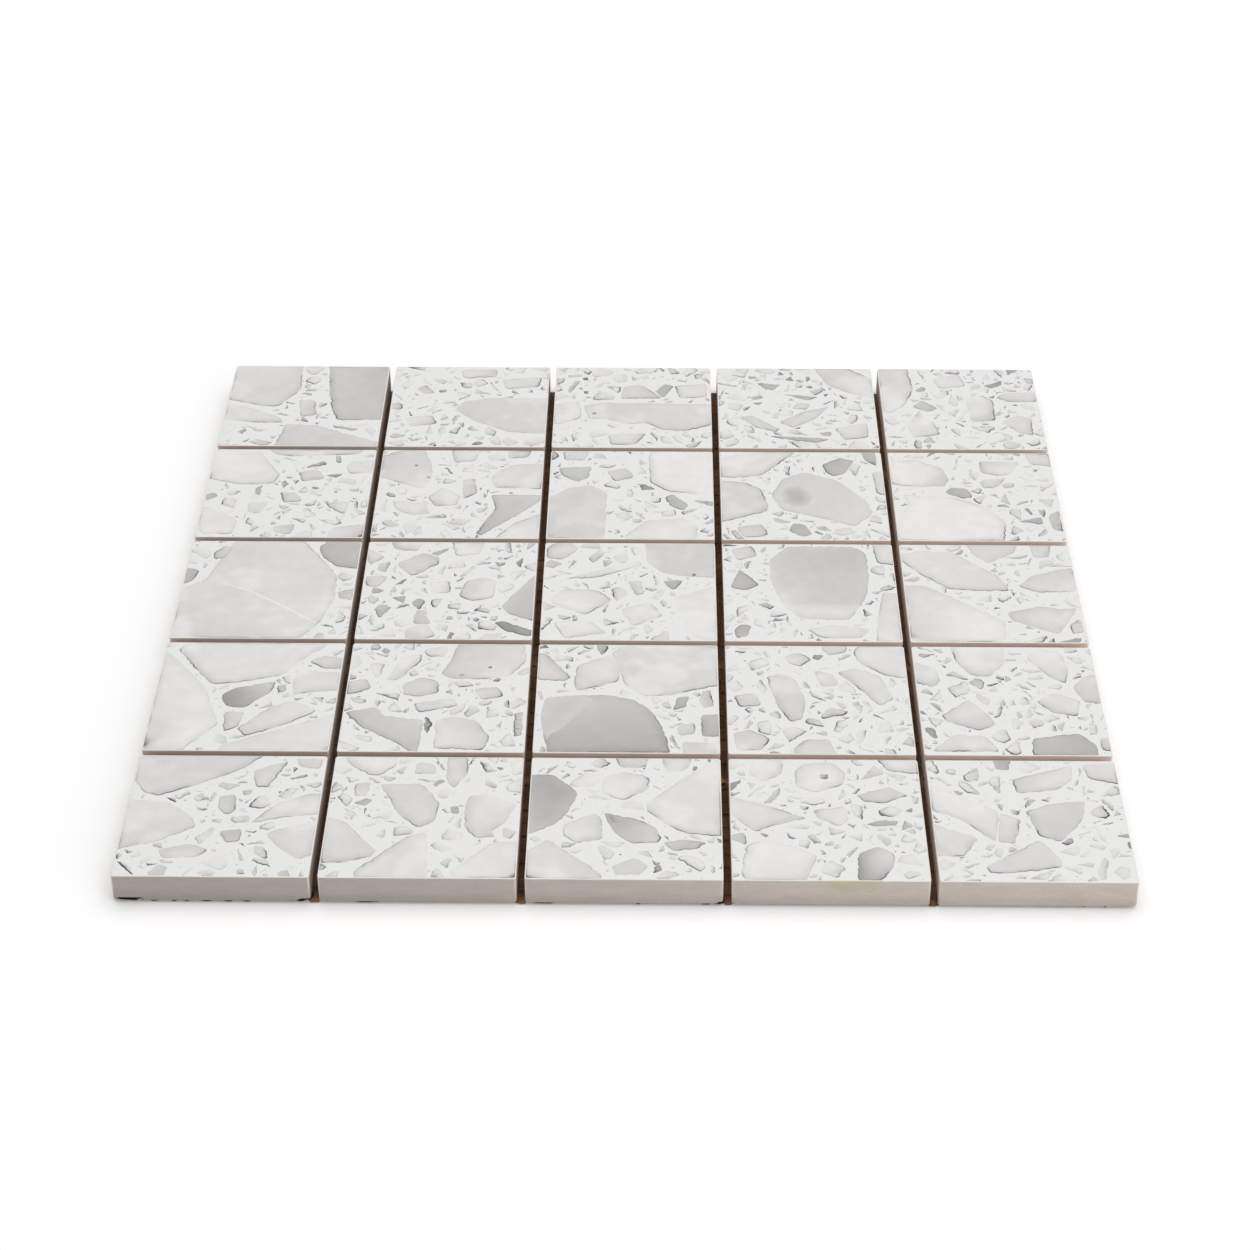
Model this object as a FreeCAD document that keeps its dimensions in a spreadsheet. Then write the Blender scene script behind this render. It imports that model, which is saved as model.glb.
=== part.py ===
import FreeCAD, Part
import Sketcher
import os
import re

# Mosaic tile sheet: square porcelain tiles in rows and columns, mounted face up on a laid
# scrim of glass yarns that is bedded on a thin film of mounting adhesive.
# Millimetres. The origin is the centre of the underside, X runs to the right along a row,
# Y runs away from the front row and Z is up. Row 1 is the front row, column 1 the left one.

os.makedirs("parts", exist_ok=True)
doc = FreeCAD.newDocument("mosaic_tile_sheet")

# Driving dimensions. Lengths are in millimetres and angles in degrees.
DIMENSIONS = {
    "tile_rows": 5,
    "tile_columns": 5,
    "tile_side": 57.6,
    "tile_thickness": 9.0,
    "joint_width": 2.4,
    "corner_chamfer": 0.7,
    "arris_width": 0.4,
    # Shallow keying cells pressed into the back of every tile.
    "relief_cells": 3,
    "relief_depth": 0.6,
    "relief_margin": 6.0,
    "relief_rib": 3.0,
    "relief_draft": 20.0,
    # Recesses under the front edge of the first tile, where the saw ran through a cell.
    "recess_height": 1.0,
    "left_recess_start": 1.3,
    "left_recess_width": 7.6,
    "right_recess_width": 6.6,
    "right_recess_ramp": 3.8,
    # Laid scrim: weft yarns between a lower and an upper layer of warp yarns. It was bedded
    # slightly askew, so it is cut short enough for its corners to stay under the tiles.
    "yarn_pitch": 6.25,
    "yarn_width": 0.7,
    "yarn_flat": 0.4,
    "yarn_thickness": 0.2,
    "weft_shift": 2.2,
    "warp_shift": -2.7,
    "scrim_skew": -1.22,
    "scrim_inset": 3.2,
    # Adhesive film under the scrim.
    "film_inset": 2.0,
    "film_thickness": 0.3,
}

# Sizes that follow from the driving dimensions.
DERIVED = {
    "tile_pitch": "tile_side + joint_width",
    "sheet_width": "tile_columns * tile_pitch - joint_width",
    "sheet_depth": "tile_rows * tile_pitch - joint_width",
    "relief_pitch": "(tile_side - 2 * relief_margin + relief_rib) / relief_cells",
    "relief_cell": "relief_pitch - relief_rib",
    "scrim_width": "sheet_width - 2 * scrim_inset",
    "scrim_depth": "sheet_depth - 2 * scrim_inset",
    "weft_count": "floor(scrim_width / yarn_pitch)",
    "warp_count": "floor(scrim_depth / yarn_pitch)",
    "upper_warp_count": "ceil(warp_count / 2)",
    "lower_warp_count": "floor(warp_count / 2)",
    "weft_first": "weft_shift - (weft_count - 1) * yarn_pitch / 2",
    "upper_warp_first": "warp_shift - (warp_count - 1) * yarn_pitch / 2",
    "lower_warp_first": "upper_warp_first + yarn_pitch",
    "warp_pitch": "2 * yarn_pitch",
    "film_width": "sheet_width - 2 * film_inset",
    "film_depth": "sheet_depth - 2 * film_inset",
    "lower_warp_z": "film_thickness",
    "weft_z": "lower_warp_z + yarn_thickness",
    "upper_warp_z": "weft_z + yarn_thickness",
    "tile_z": "upper_warp_z + yarn_thickness",
}


# An edge counts as lying on a face when it is no further from it than this.
EDGE_TOLERANCE = 1e-6


def make_sheet():
    """Writes every named size to a spreadsheet, one to a row."""
    sheet = doc.addObject("Spreadsheet::Sheet", "Sizes")
    cells = [(name, str(value)) for name, value in DIMENSIONS.items()]
    cells += [(name, "=" + text) for name, text in DERIVED.items()]
    for row, (name, content) in enumerate(cells, start=1):
        sheet.set(f"A{row}", name)
        sheet.set(f"B{row}", content)
        sheet.setAlias(f"B{row}", name)
    doc.recompute()
    return sheet


sizes = make_sheet()


def formula(text):
    """The formula with each named size read from the spreadsheet."""

    def sheet_name(match):
        word = match.group()
        known = word in DIMENSIONS or word in DERIVED
        return f"<<Sizes>>.{word}" if known else word

    return re.sub(r"[a-z_]+", sheet_name, text)


def origin_item(body, role):
    """One of the body's own origin planes or axes, found by its role."""
    return next(item for item in body.Origin.OriginFeatures if item.Role == role)


def make_body(label):
    """An empty body; its label names its file."""
    body = doc.addObject("PartDesign::Body", label)
    body.Label = label
    return body


def make_sketch(body, name, role, outlines):
    """A sketch of closed polygons on an origin plane.

    Each corner is a pair of formulas, its distances from the origin along the sketch's axes.
    """
    sketch = body.newObject("Sketcher::SketchObject", name)
    sketch.AttachmentSupport = [(origin_item(body, role), "")]
    sketch.MapMode = "FlatFace"
    for corners in outlines:
        first = sketch.GeometryCount
        count = len(corners)
        spots = [FreeCAD.Vector(index, index * index, 0) for index in range(1, count + 1)]
        for index in range(count):
            line = Part.LineSegment(spots[index], spots[(index + 1) % count])
            sketch.addGeometry(line, False)
        for index in range(count):
            following = first + (index + 1) % count
            joined = Sketcher.Constraint("Coincident", first + index, 2, following, 1)
            sketch.addConstraint(joined)
        for index, (across, up) in enumerate(corners):
            place_corner(sketch, first + index, "DistanceX", -2, across)
            place_corner(sketch, first + index, "DistanceY", -1, up)
    return sketch


def place_corner(sketch, line, kind, axis, text):
    """Ties a line's start point to a formula, or to an axis where the formula is zero."""
    if text == "0":
        sketch.addConstraint(Sketcher.Constraint("PointOnObject", line, 1, axis))
        return
    constraint = Sketcher.Constraint(kind, -1, 1, line, 1, 1.0)
    number = sketch.addConstraint(constraint)
    sketch.setExpression(f"Constraints[{number}]", formula(text))


def rectangle(left, bottom, right, top):
    """Four corners of a rectangle from the formulas of its sides."""
    return [(left, bottom), (right, bottom), (right, top), (left, top)]


def add_feature(body, kind, name, profile=None, **formulas):
    """A feature at the end of the body, with its sizes bound to formulas."""
    feature = body.newObject(f"PartDesign::{kind}", name)
    if profile is not None:
        feature.Profile = profile
    for prop, text in formulas.items():
        feature.setExpression(prop, formula(text))
    body.Tip = feature
    return feature


def edge_names(shape, wanted):
    """Names of the edges whose bounding box passes the test."""
    return [f"Edge{n}" for n, edge in enumerate(shape.Edges, start=1) if wanted(edge.BoundBox)]


def make_tile(row, column):
    """One porcelain tile, modelled about the middle of its back and placed in the sheet."""
    body = make_body(f"tile_r{row}_c{column}")
    half = "tile_side / 2"
    outline = make_sketch(
        body, f"outline_{row}_{column}", "XY_Plane", [rectangle(f"-{half}", f"-{half}", half, half)]
    )
    slab = add_feature(body, "Pad", f"slab_{row}_{column}", outline, Length="tile_thickness")
    doc.recompute()

    # The upright corners and the rim of the face are eased.
    upright = edge_names(slab.Shape, lambda box: box.ZLength > box.XLength + box.YLength)
    corners = add_feature(body, "Chamfer", f"corners_{row}_{column}", Size="corner_chamfer")
    corners.Base = (slab, upright)
    doc.recompute()
    face_height = slab.Shape.BoundBox.ZMax
    rim = edge_names(corners.Shape, lambda box: box.ZMin > face_height - EDGE_TOLERANCE)
    arris = add_feature(body, "Chamfer", f"arris_{row}_{column}", Size="arris_width")
    arris.Base = (corners, rim)
    doc.recompute()

    # Keying cells in the back, with sloping walls, in a square grid. The first one is a
    # wedge whose local Y axis points up into the tile and whose local Z axis points forward.
    near = f"relief_margin - {half}"
    far = f"{near} + relief_cell"
    slope = "relief_depth * tan(relief_draft)"
    cell = add_feature(
        body, "SubtractiveWedge", f"cell_{row}_{column}",
        Xmin=near, Xmax=far, X2min=f"{near} + {slope}", X2max=f"{far} - {slope}",
        Zmin=f"-({far})", Zmax=f"-({near})",
        Z2min=f"{slope} - ({far})", Z2max=f"-({near}) - {slope}",
        Ymax="relief_depth",
    )
    cell.Ymin = 0
    cell.AttachmentSupport = [(origin_item(body, "XZ_Plane"), "")]
    cell.MapMode = "FlatFace"
    grid = add_feature(body, "LinearPattern", f"grid_{row}_{column}")
    grid.Originals = [cell]
    grid.Direction = (origin_item(body, "X_Axis"), [""])
    grid.Direction2 = (origin_item(body, "Y_Axis"), [""])
    for prop in ("Length", "Length2"):
        grid.setExpression(prop, formula("relief_pitch * (relief_cells - 1)"))
    for prop in ("Occurrences", "Occurrences2"):
        grid.setExpression(prop, formula("relief_cells"))
    body.setExpression(
        "Placement.Base.x", formula(f"({column} - (tile_columns + 1) / 2) * tile_pitch")
    )
    body.setExpression("Placement.Base.y", formula(f"({row} - (tile_rows + 1) / 2) * tile_pitch"))
    body.setExpression("Placement.Base.z", formula("tile_z"))
    return body


def open_front_edge(body):
    """Cuts the two recesses that the saw left under the front edge of a tile."""
    left = "left_recess_start - tile_side / 2"
    right_foot = "tile_side / 2 - right_recess_width"
    right_top = "tile_side / 2 - right_recess_width + right_recess_ramp"
    step = rectangle(left, "0", f"{left} + left_recess_width", "recess_height")
    ramp = [
        (right_foot, "0"),
        ("tile_side / 2", "0"),
        ("tile_side / 2", "recess_height"),
        (right_top, "recess_height"),
    ]
    profile = make_sketch(body, "recess_profile", "XZ_Plane", [step, ramp])
    profile.setExpression(
        "AttachmentOffset.Base.z", formula("tile_side / 2 - relief_margin")
    )
    recess = add_feature(body, "Pocket", "edge_recesses", profile, Length="relief_margin")
    recess.Reversed = True


def make_yarns(label, role, first, low, count, pitch, length):
    """A layer of parallel yarns, each a flattened six-sided bar padded across its plane."""
    body = make_body(label)
    body.AllowCompound = True
    middle = f"{low} + yarn_thickness / 2"
    top = f"{low} + yarn_thickness"
    section = [
        (f"{first} - yarn_width / 2", middle),
        (f"{first} - yarn_flat / 2", low),
        (f"{first} + yarn_flat / 2", low),
        (f"{first} + yarn_width / 2", middle),
        (f"{first} + yarn_flat / 2", top),
        (f"{first} - yarn_flat / 2", top),
    ]
    profile = make_sketch(body, f"{label}_section", role, [section])
    yarn = add_feature(body, "Pad", f"{label}_yarn", profile, Length=length)
    yarn.Midplane = True
    layer = add_feature(body, "LinearPattern", f"{label}_layer", Occurrences=count, Offset=pitch)
    layer.Mode = "Spacing"
    layer.Originals = [yarn]
    layer.Direction = (profile, ["H_Axis"])
    body.setExpression("Placement.Rotation.Angle", formula("scrim_skew"))
    return body


def make_film():
    """The film of mounting adhesive, the lowest piece of the sheet."""
    body = make_body("adhesive_film")
    outline = rectangle("-film_width / 2", "-film_depth / 2", "film_width / 2", "film_depth / 2")
    profile = make_sketch(body, "film_outline", "XY_Plane", [outline])
    add_feature(body, "Pad", "film", profile, Length="film_thickness")
    return body


bodies = [make_film()]
bodies.append(
    make_yarns(
        "scrim_lower_warp", "YZ_Plane", "lower_warp_first", "lower_warp_z",
        "lower_warp_count", "warp_pitch", "scrim_width",
    )
)
bodies.append(
    make_yarns(
        "scrim_weft", "XZ_Plane", "weft_first", "weft_z", "weft_count", "yarn_pitch", "scrim_depth"
    )
)
bodies.append(
    make_yarns(
        "scrim_upper_warp", "YZ_Plane", "upper_warp_first", "upper_warp_z",
        "upper_warp_count", "warp_pitch", "scrim_width",
    )
)
for row in range(1, int(sizes.tile_rows) + 1):
    for column in range(1, int(sizes.tile_columns) + 1):
        tile = make_tile(row, column)
        if (row, column) == (1, 1):
            open_front_edge(tile)
        bodies.append(tile)
doc.recompute()

for item in doc.Objects:
    if "Invalid" in item.State or "Error" in item.State:
        raise RuntimeError(f"{item.Label} did not build: {item.State}")
for body in bodies:
    if body.Shape.isNull() or not body.Shape.isValid():
        raise RuntimeError(f"{body.Label} has no valid shape")
for body in bodies:
    body.Shape.exportStep(f"parts/{body.Label}.step")
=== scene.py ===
"""Dresses the terrazzo mosaic sheet: 25 porcelain tiles held by a laid scrim on adhesive."""

import logging  # noqa: E402
import math  # noqa: E402
from dataclasses import dataclass, field  # noqa: E402
from enum import Enum  # noqa: E402

import bmesh  # noqa: E402
import bpy  # noqa: E402
import numpy as np  # noqa: E402
from mathutils import Euler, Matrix, Vector, noise  # noqa: E402
from mathutils.geometry import delaunay_2d_cdt  # noqa: E402

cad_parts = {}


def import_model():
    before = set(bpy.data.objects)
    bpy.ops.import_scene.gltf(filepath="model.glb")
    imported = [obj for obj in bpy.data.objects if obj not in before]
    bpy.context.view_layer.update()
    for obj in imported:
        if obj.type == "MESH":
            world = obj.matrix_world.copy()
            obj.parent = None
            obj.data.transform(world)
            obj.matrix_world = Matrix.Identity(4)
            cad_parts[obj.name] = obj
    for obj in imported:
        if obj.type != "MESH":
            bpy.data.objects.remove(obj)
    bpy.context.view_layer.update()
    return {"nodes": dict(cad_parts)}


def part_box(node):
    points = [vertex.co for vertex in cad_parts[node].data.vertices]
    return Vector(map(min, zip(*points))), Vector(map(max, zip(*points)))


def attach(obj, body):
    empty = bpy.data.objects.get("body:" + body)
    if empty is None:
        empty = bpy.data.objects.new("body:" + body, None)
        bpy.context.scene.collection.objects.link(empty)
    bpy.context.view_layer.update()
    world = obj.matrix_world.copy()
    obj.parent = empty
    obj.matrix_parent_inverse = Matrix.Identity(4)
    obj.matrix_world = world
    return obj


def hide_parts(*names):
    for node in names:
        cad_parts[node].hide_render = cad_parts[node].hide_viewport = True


MM = 0.001
TILE_SIDE = 57.6
TILE_FOOT = 0.9
TILE_TOP = 9.9
BED_LEVEL = 237.5
CUT_AT = 28.35
STAIN_AT = (0.0655, -0.1488, 0.0098)
STAIN_REACH = (0.014, 0.003, 0.0055)
LOG = logging.getLogger("mosaic_sheet")


def linear(level: float) -> float:
    """Turns a screen level from 0 to 255 into the reflectance that shows as it."""
    share = level / 255
    return share / 12.92 if share <= 0.04045 else ((share + 0.055) / 1.055) ** 2.4


def screen(red: float, green: float, blue: float) -> tuple[float, float, float, float]:
    """Turns a screen colour from 0 to 255 into a linear one with full alpha."""
    return (linear(red), linear(green), linear(blue), 1.0)


class Shade(Enum):
    """How a stone fragment looks: its level, the strength of its rim and its warmth."""

    WHITE = (237, 0.8, 0.0)
    PALE = (231, 0.75, 0.0)
    LIGHT = (227, 0.9, 0.0)
    GREY = (220, 0.9, 0.05)
    FLAT = (218, 0.3, 0.05)
    MID = (207, 0.8, 0.1)
    DARK = (190, 0.85, 0.12)
    BLACK = (146, 0.8, 0.1)
    WARM = (224, 0.65, 0.6)
    PINK = (224, 0.75, 0.6)
    PEACH = (226, 0.65, 1.0)
    BROWN = (190, 0.6, 0.7)
    GLINT = (238, 0.0, 0.0)
    VEIN = (208, 0.0, 0.8)
    SOFT = (217, 0.0, 0.05)
    ROSE = (213, 0.15, 0.55)

    @property
    def level(self) -> float:
        """The screen level of the fragment's middle."""
        return self.value[0]

    @property
    def rim(self) -> float:
        """How strongly the fragment's edge is darkened, from 0 to 1."""
        return self.value[1]

    @property
    def warmth(self) -> float:
        """How far the fragment leans from grey to tan, from 0 to 1."""
        return self.value[2]


@dataclass(frozen=True)
class Fragment:
    """A stone fragment of the terrazzo, with its outline in mm from the tile's front left corner.

    The lean is the change of level across and along the stone, the core the one to its middle.
    """

    shade: Shade
    outline: str
    lean: tuple[float, float] = (0.0, 0.0)
    core: float = 0.0

    def points(self) -> np.ndarray:
        """The corners of the outline; one on the tile's side runs on past it, to be cut there."""
        corners = np.array([[float(v) for v in pair.split(",")] for pair in self.outline.split()])
        return corners + 2.5 * (corners > TILE_SIDE - 0.1) - 2.5 * (corners < 0.1)


WHITE, PALE, LIGHT, GREY = Shade.WHITE, Shade.PALE, Shade.LIGHT, Shade.GREY
FLAT, MID, DARK, BLACK = Shade.FLAT, Shade.MID, Shade.DARK, Shade.BLACK
WARM, PINK, PEACH, BROWN = Shade.WARM, Shade.PINK, Shade.PEACH, Shade.BROWN
GLINT, VEIN, SOFT, ROSE = Shade.GLINT, Shade.VEIN, Shade.SOFT, Shade.ROSE
F = Fragment

TILE_FRAGMENTS: dict[tuple[int, int], tuple[Fragment, ...]] = {
    (1, 1): (
        F(GREY, "0,57.6 41,57.6 31,50 21,44 8.7,37.5 4,39 0,50", (3, 5), -5),
        F(LIGHT, "0,36 11.5,34.6 19,28.8 22,23 11.5,16 0,11.5", (0, 0), -2),
        F(LIGHT, "37.5,24.6 45,34.6 54,39 57.6,39 57.6,29.5 47,27.6"),
        F(LIGHT, "42.7,20 50,23.5 57.6,26.5 57.6,12.5 53.8,7.7 48,12.5", (5, 0)),
        F(GREY, "27,37.5 31.7,38.5 32.7,30.8 29.8,28.5 27.3,31.7"),
        F(LIGHT, "35.6,50 43,53.8 46,54.8 41,42 37.5,42"),
        F(MID, "28.8,21 35.6,22 35.6,16.3 31.7,15.4", (0, -14)),
        F(DARK, "47,46.5 52,48.5 52.5,47.4 48,45.8"),
        F(MID, "33.4,40.2 36.6,41 36.2,38.4 34,38"),
        F(MID, "20.8,32.4 24.4,31.4 23.2,30.4 21,31"),
        F(GREY, "12,12 21,15 27,12 24,9 14,8"),
        F(FLAT, "48,56.4 56.4,56 55.8,51 50,52"),
    ),
    (1, 2): (
        F(PALE, "0.6,57.6 19.8,57.6 18.8,52.8 14,48 11,48.4 5.4,52.8"),
        F(LIGHT, "25,54.7 30.4,53.8 31.3,49 24.6,49"),
        F(GREY, "34.2,57.6 40.4,57.6 41,49 37,42 34.6,46"),
        F(GREY, "14.6,44 27.5,44 33.3,34.6 32.3,26 27.5,23 21.7,28.8", (8, 3)),
        F(WARM, "42,38.5 47.7,39.4 56.3,34.6 53.5,26 49.6,22 50.6,19.2 44.8,18.3 41,24 41,32.7", (8, 10), 5),
        F(LIGHT, "0,28.8 5.4,26 16,12.5 15,9.6 6.3,6.7 0,6.7", (0, 6)),
        F(LIGHT, "10.2,2.9 24.6,19.2 30.4,21 32,0 11,0", (2, 2), -8),
        F(PALE, "38,2.9 49.6,16.3 57.6,17.3 57.6,0 40,0"),
        F(GREY, "7,44 12,45 11,38 7.6,38"),
        F(DARK, "36.5,33 39,33.6 39.4,29.8 37,30"),
    ),
    (1, 3): (
        F(DARK, "0,49 7,49 14.6,40.3 11.7,30.7 7.9,25 0,18.3", (-6, -26), -12),
        F(LIGHT, "34.8,34.6 46.3,48 57.6,57.6 57.6,19.8 47.3,21 41.5,25 35.4,31.7", (4, 4)),
        F(GREY, "1.2,13.5 6,18.3 22.3,2 22.3,0 0,0 0,11"),
        F(MID, "22.3,30.8 32,28 38,24 39.6,19 38.7,17 31,16.3 26,21", (34, -22), -9),
        F(BROWN, "23.6,30 28.4,28.4 28,26.4 25.2,26.2", (20, 0)),
        F(LIGHT, "10.8,25 20,30.6 22,27 22.3,18.3 14.6,16.3 10.4,20.2"),
        F(PALE, "22.3,48 28,50.8 36,48 35.8,42.2 28,36.5 21.3,40.3"),
        F(GREY, "25,57.6 36,57.6 35,53 27,52.6"),
        F(GREY, "39.6,57.6 50,57.6 47,51.4 41,50.4"),
        F(MID, "40,17 46,18.4 53,17 50,14 43,13"),
        F(FLAT, "25,6 32,10 36,6 33,2 26,2"),
    ),
    (1, 4): (
        F(WARM, "20,51.8 22.9,55.3 31.5,56 35.4,50.9 34.4,45 25.8,41 20,44", (4, -3), 12),
        F(MID, "27.4,50 30,50.2 30,48 27.6,47.8", (0, 0), -30),
        F(LIGHT, "0,40 9.4,35.6 22.9,28.8 12.3,25 7.5,22 3.7,26 0,34.6"),
        F(PALE, "24.8,32.7 34.4,34.6 35,27.9 32.5,25 25.8,28.8"),
        F(WHITE, "2.7,2.9 4.6,16.3 12.3,19.2 25.2,11.5 21,0 4.6,0", (0, 0), 5),
        F(DARK, "36.3,1.9 37.3,12.5 43,15.8 47.9,12.5 46.9,5.8 44,1 37.3,0", (80, 24), 13),
        F(PALE, "25.4,3.8 28.7,9.6 33.5,5.8 30.6,1"),
        F(DARK, "40,26 44,28 50,27.6 49,25.6 43,25"),
        F(LIGHT, "8,57.6 17,57.6 16,50 10,46 6,50"),
        F(GREY, "38,40 48,44 54,40 46,36 40,37"),
        F(LIGHT, "44,57.6 57.6,57.6 57.6,50 48,52"),
    ),
    (1, 5): (
        F(PALE, "0,47 15.8,35.6 20,32 18,18.4 15.8,20.2 8,28.8 0,34.6"),
        F(PEACH, "20.3,31.8 26.3,28.8 23.5,17.3 18.4,18.2"),
        F(LIGHT, "0,27.8 13,19.8 8,11.5 0,11.5"),
        F(GREY, "27.9,32.7 37,36.5 46.5,37.9 44.6,28.8 37,18.3 31,21", (-5, 5), -9),
        F(LIGHT, "13.8,6.7 30.6,19.4 36,10.6 36,6.7 19.6,3.8 14.8,4.2", (0, 0), -4),
        F(LIGHT, "25.4,48 44.6,55.3 43.7,48 38.8,43.3 26.3,41.3"),
        F(LIGHT, "47.5,55.7 57.6,56.6 57.6,45 48.5,49"),
        F(BROWN, "20.5,57.6 26,57.6 25,52.6 21,53"),
        F(BLACK, "56.4,18.6 57.6,18.8 57.6,15 56.6,15.4"),
    ),
    (2, 1): (
        F(LIGHT, "3.8,53.8 11.5,57.6 54.8,57.6 46,50 38.5,39.4 25,35.5 17.3,34.6 11.5,42", (5, 3)),
        F(PALE, "0,54.7 2.9,50 15.4,32.7 22,13.5 13.5,2 11.5,0 0,0", (0, 0), 5),
        F(DARK, "20.8,28.8 25,32.7 37.5,36.5 36.5,30.8 28.8,22 23,23", (66, 16), -10),
        F(LIGHT, "27.9,11.5 37.5,23 44,26 52,21 44,14.4 30.8,7.3"),
        F(LIGHT, "42.7,38.5 47,42.3 57.6,41 57.6,31.7 49,30.8 43.3,28.8"),
        F(GREY, "46.7,47 51,50.4 57.6,49 57.6,43.3 52,43.3"),
        F(PALE, "24,2.9 57.6,20.4 57.6,0 22.5,0"),
        F(GREY, "23,20.2 29.4,20.2 28.2,12.5 24,9.6"),
        F(MID, "38,34 41,35 41,31 38.6,30"),
    ),
    (2, 2): (
        F(PINK, "29.4,41 32.3,49 34.2,57.6 55.4,57.6 56.3,48 51.5,40.3 42,38 32.3,38.5"),
        F(BLACK, "44.2,45 45.4,45.2 45.4,44.2 44.4,44"),
        F(BROWN, "35.2,40.8 37,41.2 36.8,39.8 35.4,39.6"),
        F(GREY, "17.9,35.6 23.7,39 28.8,37 29.4,30.8 22.7,28.5 17.9,29.8"),
        F(PALE, "12,37.5 17,50 22.7,51.8 22.7,48 16,37.5"),
        F(MID, "0.6,20.2 10.2,23 13,18.3 25.6,16.3 24.6,0 18.8,3.8 6.3,12.5", (14, 16)),
        F(LIGHT, "29.4,16.3 34.2,18.3 42,16.3 46.7,7.7 44.8,1 29.4,1.9"),
        F(LIGHT, "21.7,25 34.2,27.9 36,24 23.7,20.2"),
        F(MID, "53.5,20 56.3,21 56.4,9 54,8"),
        F(GREY, "40,33 48,34 50,29 43,27"),
        F(GREY, "0,36 6,38 8,33 3,30 0,30"),
    ),
    (2, 3): (
        F(DARK, "5,0 3,10 2,20 3,28.5 14,30 24,29.8 31,27.5 36,22.5 39,15.5 41.5,7 42,0", (-4, 38), 6),
        F(ROSE, "4,6 2.6,12 2,20 3,28.5 14,30 17.6,28.4 13,21 8,13.4 5.6,10", (-8, 8), -8),
        F(VEIN, "17.6,28.4 13,21 8,13.4 5.6,10.6 6.4,10 9,12.8 14,20.4 18.2,28"),
        F(LIGHT, "23.3,52.8 30,57.6 57.6,57.6 57.6,36.5 49,32.7 42.5,30 33.8,29.6 28,35.5", (3, 4), -8),
        F(LIGHT, "12.7,46 22.6,51.4 26.4,48 26,37.4 12.7,32 11.7,38.5"),
        F(GREY, "0,53.8 3,51.8 10.8,39.4 8.8,37.4 0,38.5"),
        F(DARK, "43,22 44.5,29 48.3,29.8 47.3,24"),
        F(BROWN, "52,20 57.6,20 57.6,8.7 52,8.7", (0, 12)),
        F(GREY, "44.4,14 50,16 50,10 45,9"),
        F(FLAT, "46,6 57.6,5 57.6,0 46,0"),
    ),
    (2, 4): (
        F(GREY, "12.9,40.4 17,42 22,39.4 24.8,28.8 23.5,18.3 20,16.3 16,24 14.2,32.7", (3, 6)),
        F(PALE, "41,53.8 44,57.6 57.6,57.6 57.6,39.4 50.8,41.3 43,48"),
        F(LIGHT, "35.4,43 41,45.4 48.8,41.6 52.7,28.8 47.9,25 41,35.6"),
        F(LIGHT, "19,51.8 23.8,53.8 27.7,50 23.8,46 20,48"),
        F(GREY, "1.7,10.6 6.5,12.5 13.3,7.7 10.4,1.9 2.7,1.9"),
        F(GREY, "20,2.9 23.8,7.3 31.5,7.7 33.5,0 20,0"),
        F(LIGHT, "28,44 34,42 36,36 30,35"),
        F(GREY, "2,30 9,32 11,25 4,24"),
    ),
    (2, 5): (
        F(LIGHT, "12,57.6 30,57.6 29.2,48 23.5,41 17.7,42 13.8,49"),
        F(PALE, "36,51.8 40.8,56.6 47.5,54.7 49.4,46 47.5,37.5 42.7,41.3"),
        F(GREY, "6.7,20.2 15.8,28.8 21.5,21 23.5,15.4 17.7,12.5 8,17.3"),
        F(DARK, "33,0 34,8.7 48.5,11.5 53.3,5.8 53.3,0", (-14, 8)),
        F(GREY, "49.4,35.6 54.2,42 57.6,43 57.6,26 52.3,27.9"),
        F(LIGHT, "37,27.9 42.7,32.7 51,28.8 49.4,20.2 41.7,22"),
        F(GREY, "0,50 7,46 8,38.5 5,35 0,39.4"),
        F(LIGHT, "2.3,1.9 10,10.6 19.6,9.6 23.5,1.9"),
        F(GREY, "54.5,9 57.6,10 57.6,2 54.8,3"),
    ),
    (3, 1): (
        F(LIGHT, "15.4,57.6 36.5,57.6 48,42 51,36.5 51.5,23 48,9.6 41.3,0 0,0 0,26 7.7,34.4 10,44", (6, -2), -3),
        F(GLINT, "8.7,34 22,28.6 41.3,14 47,9 46.6,8.6 41,13 22,27.6 8.7,33.2"),
        F(DARK, "43.3,53.8 47,57.6 57.6,57.6 57.6,40.3 50,42.3 45,48", (10, 6)),
        F(GREY, "8,50 11.5,54.7 14.2,53.8 12,47 8.7,46"),
        F(DARK, "0,42 4.8,39.4 2.9,32.7 0,29.8"),
        F(MID, "52,27 57.6,30 57.6,22 53,23"),
    ),
    (3, 2): (
        F(GREY, "10.2,44 18.8,50.9 24.6,48 24.6,44 16,36.5"),
        F(GREY, "32.3,25 34.2,33.7 40,36.5 44.8,33.7 43.8,24 37,22", (2, 6)),
        F(MID, "46.7,19.2 56.3,36.5 57.6,40.3 57.6,9.6 49.6,14.4", (-16, 6), -8),
        F(BLACK, "44.8,9.6 47.7,10.6 57.6,3.8 56.3,1.9 48.7,4.8", (20, 0), 55),
        F(DARK, "17,21 19,23.5 21.7,22 19.8,16.3"),
        F(DARK, "10.2,24 15,25 14.6,20.2"),
        F(GREY, "0,55.7 6.3,48 1.5,43"),
        F(GREY, "0.6,36.5 8.3,36.5 5.4,29.8 1.2,30.8"),
        F(GREY, "6.3,57.6 18.8,57.6 17,51.8 9.2,52.8"),
        F(GREY, "16,5.8 22.7,8.7 26.5,1.9 17,0"),
        F(LIGHT, "28,57.6 40,57.6 38,50 30,49"),
        F(LIGHT, "22,33 29,34 29.6,27 24,26"),
    ),
    (3, 3): (
        F(FLAT, "33.8,57.6 57.6,57.6 57.6,36.5 47.3,37.4 39.6,39.4 34.4,46", (4, -3), -5),
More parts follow.
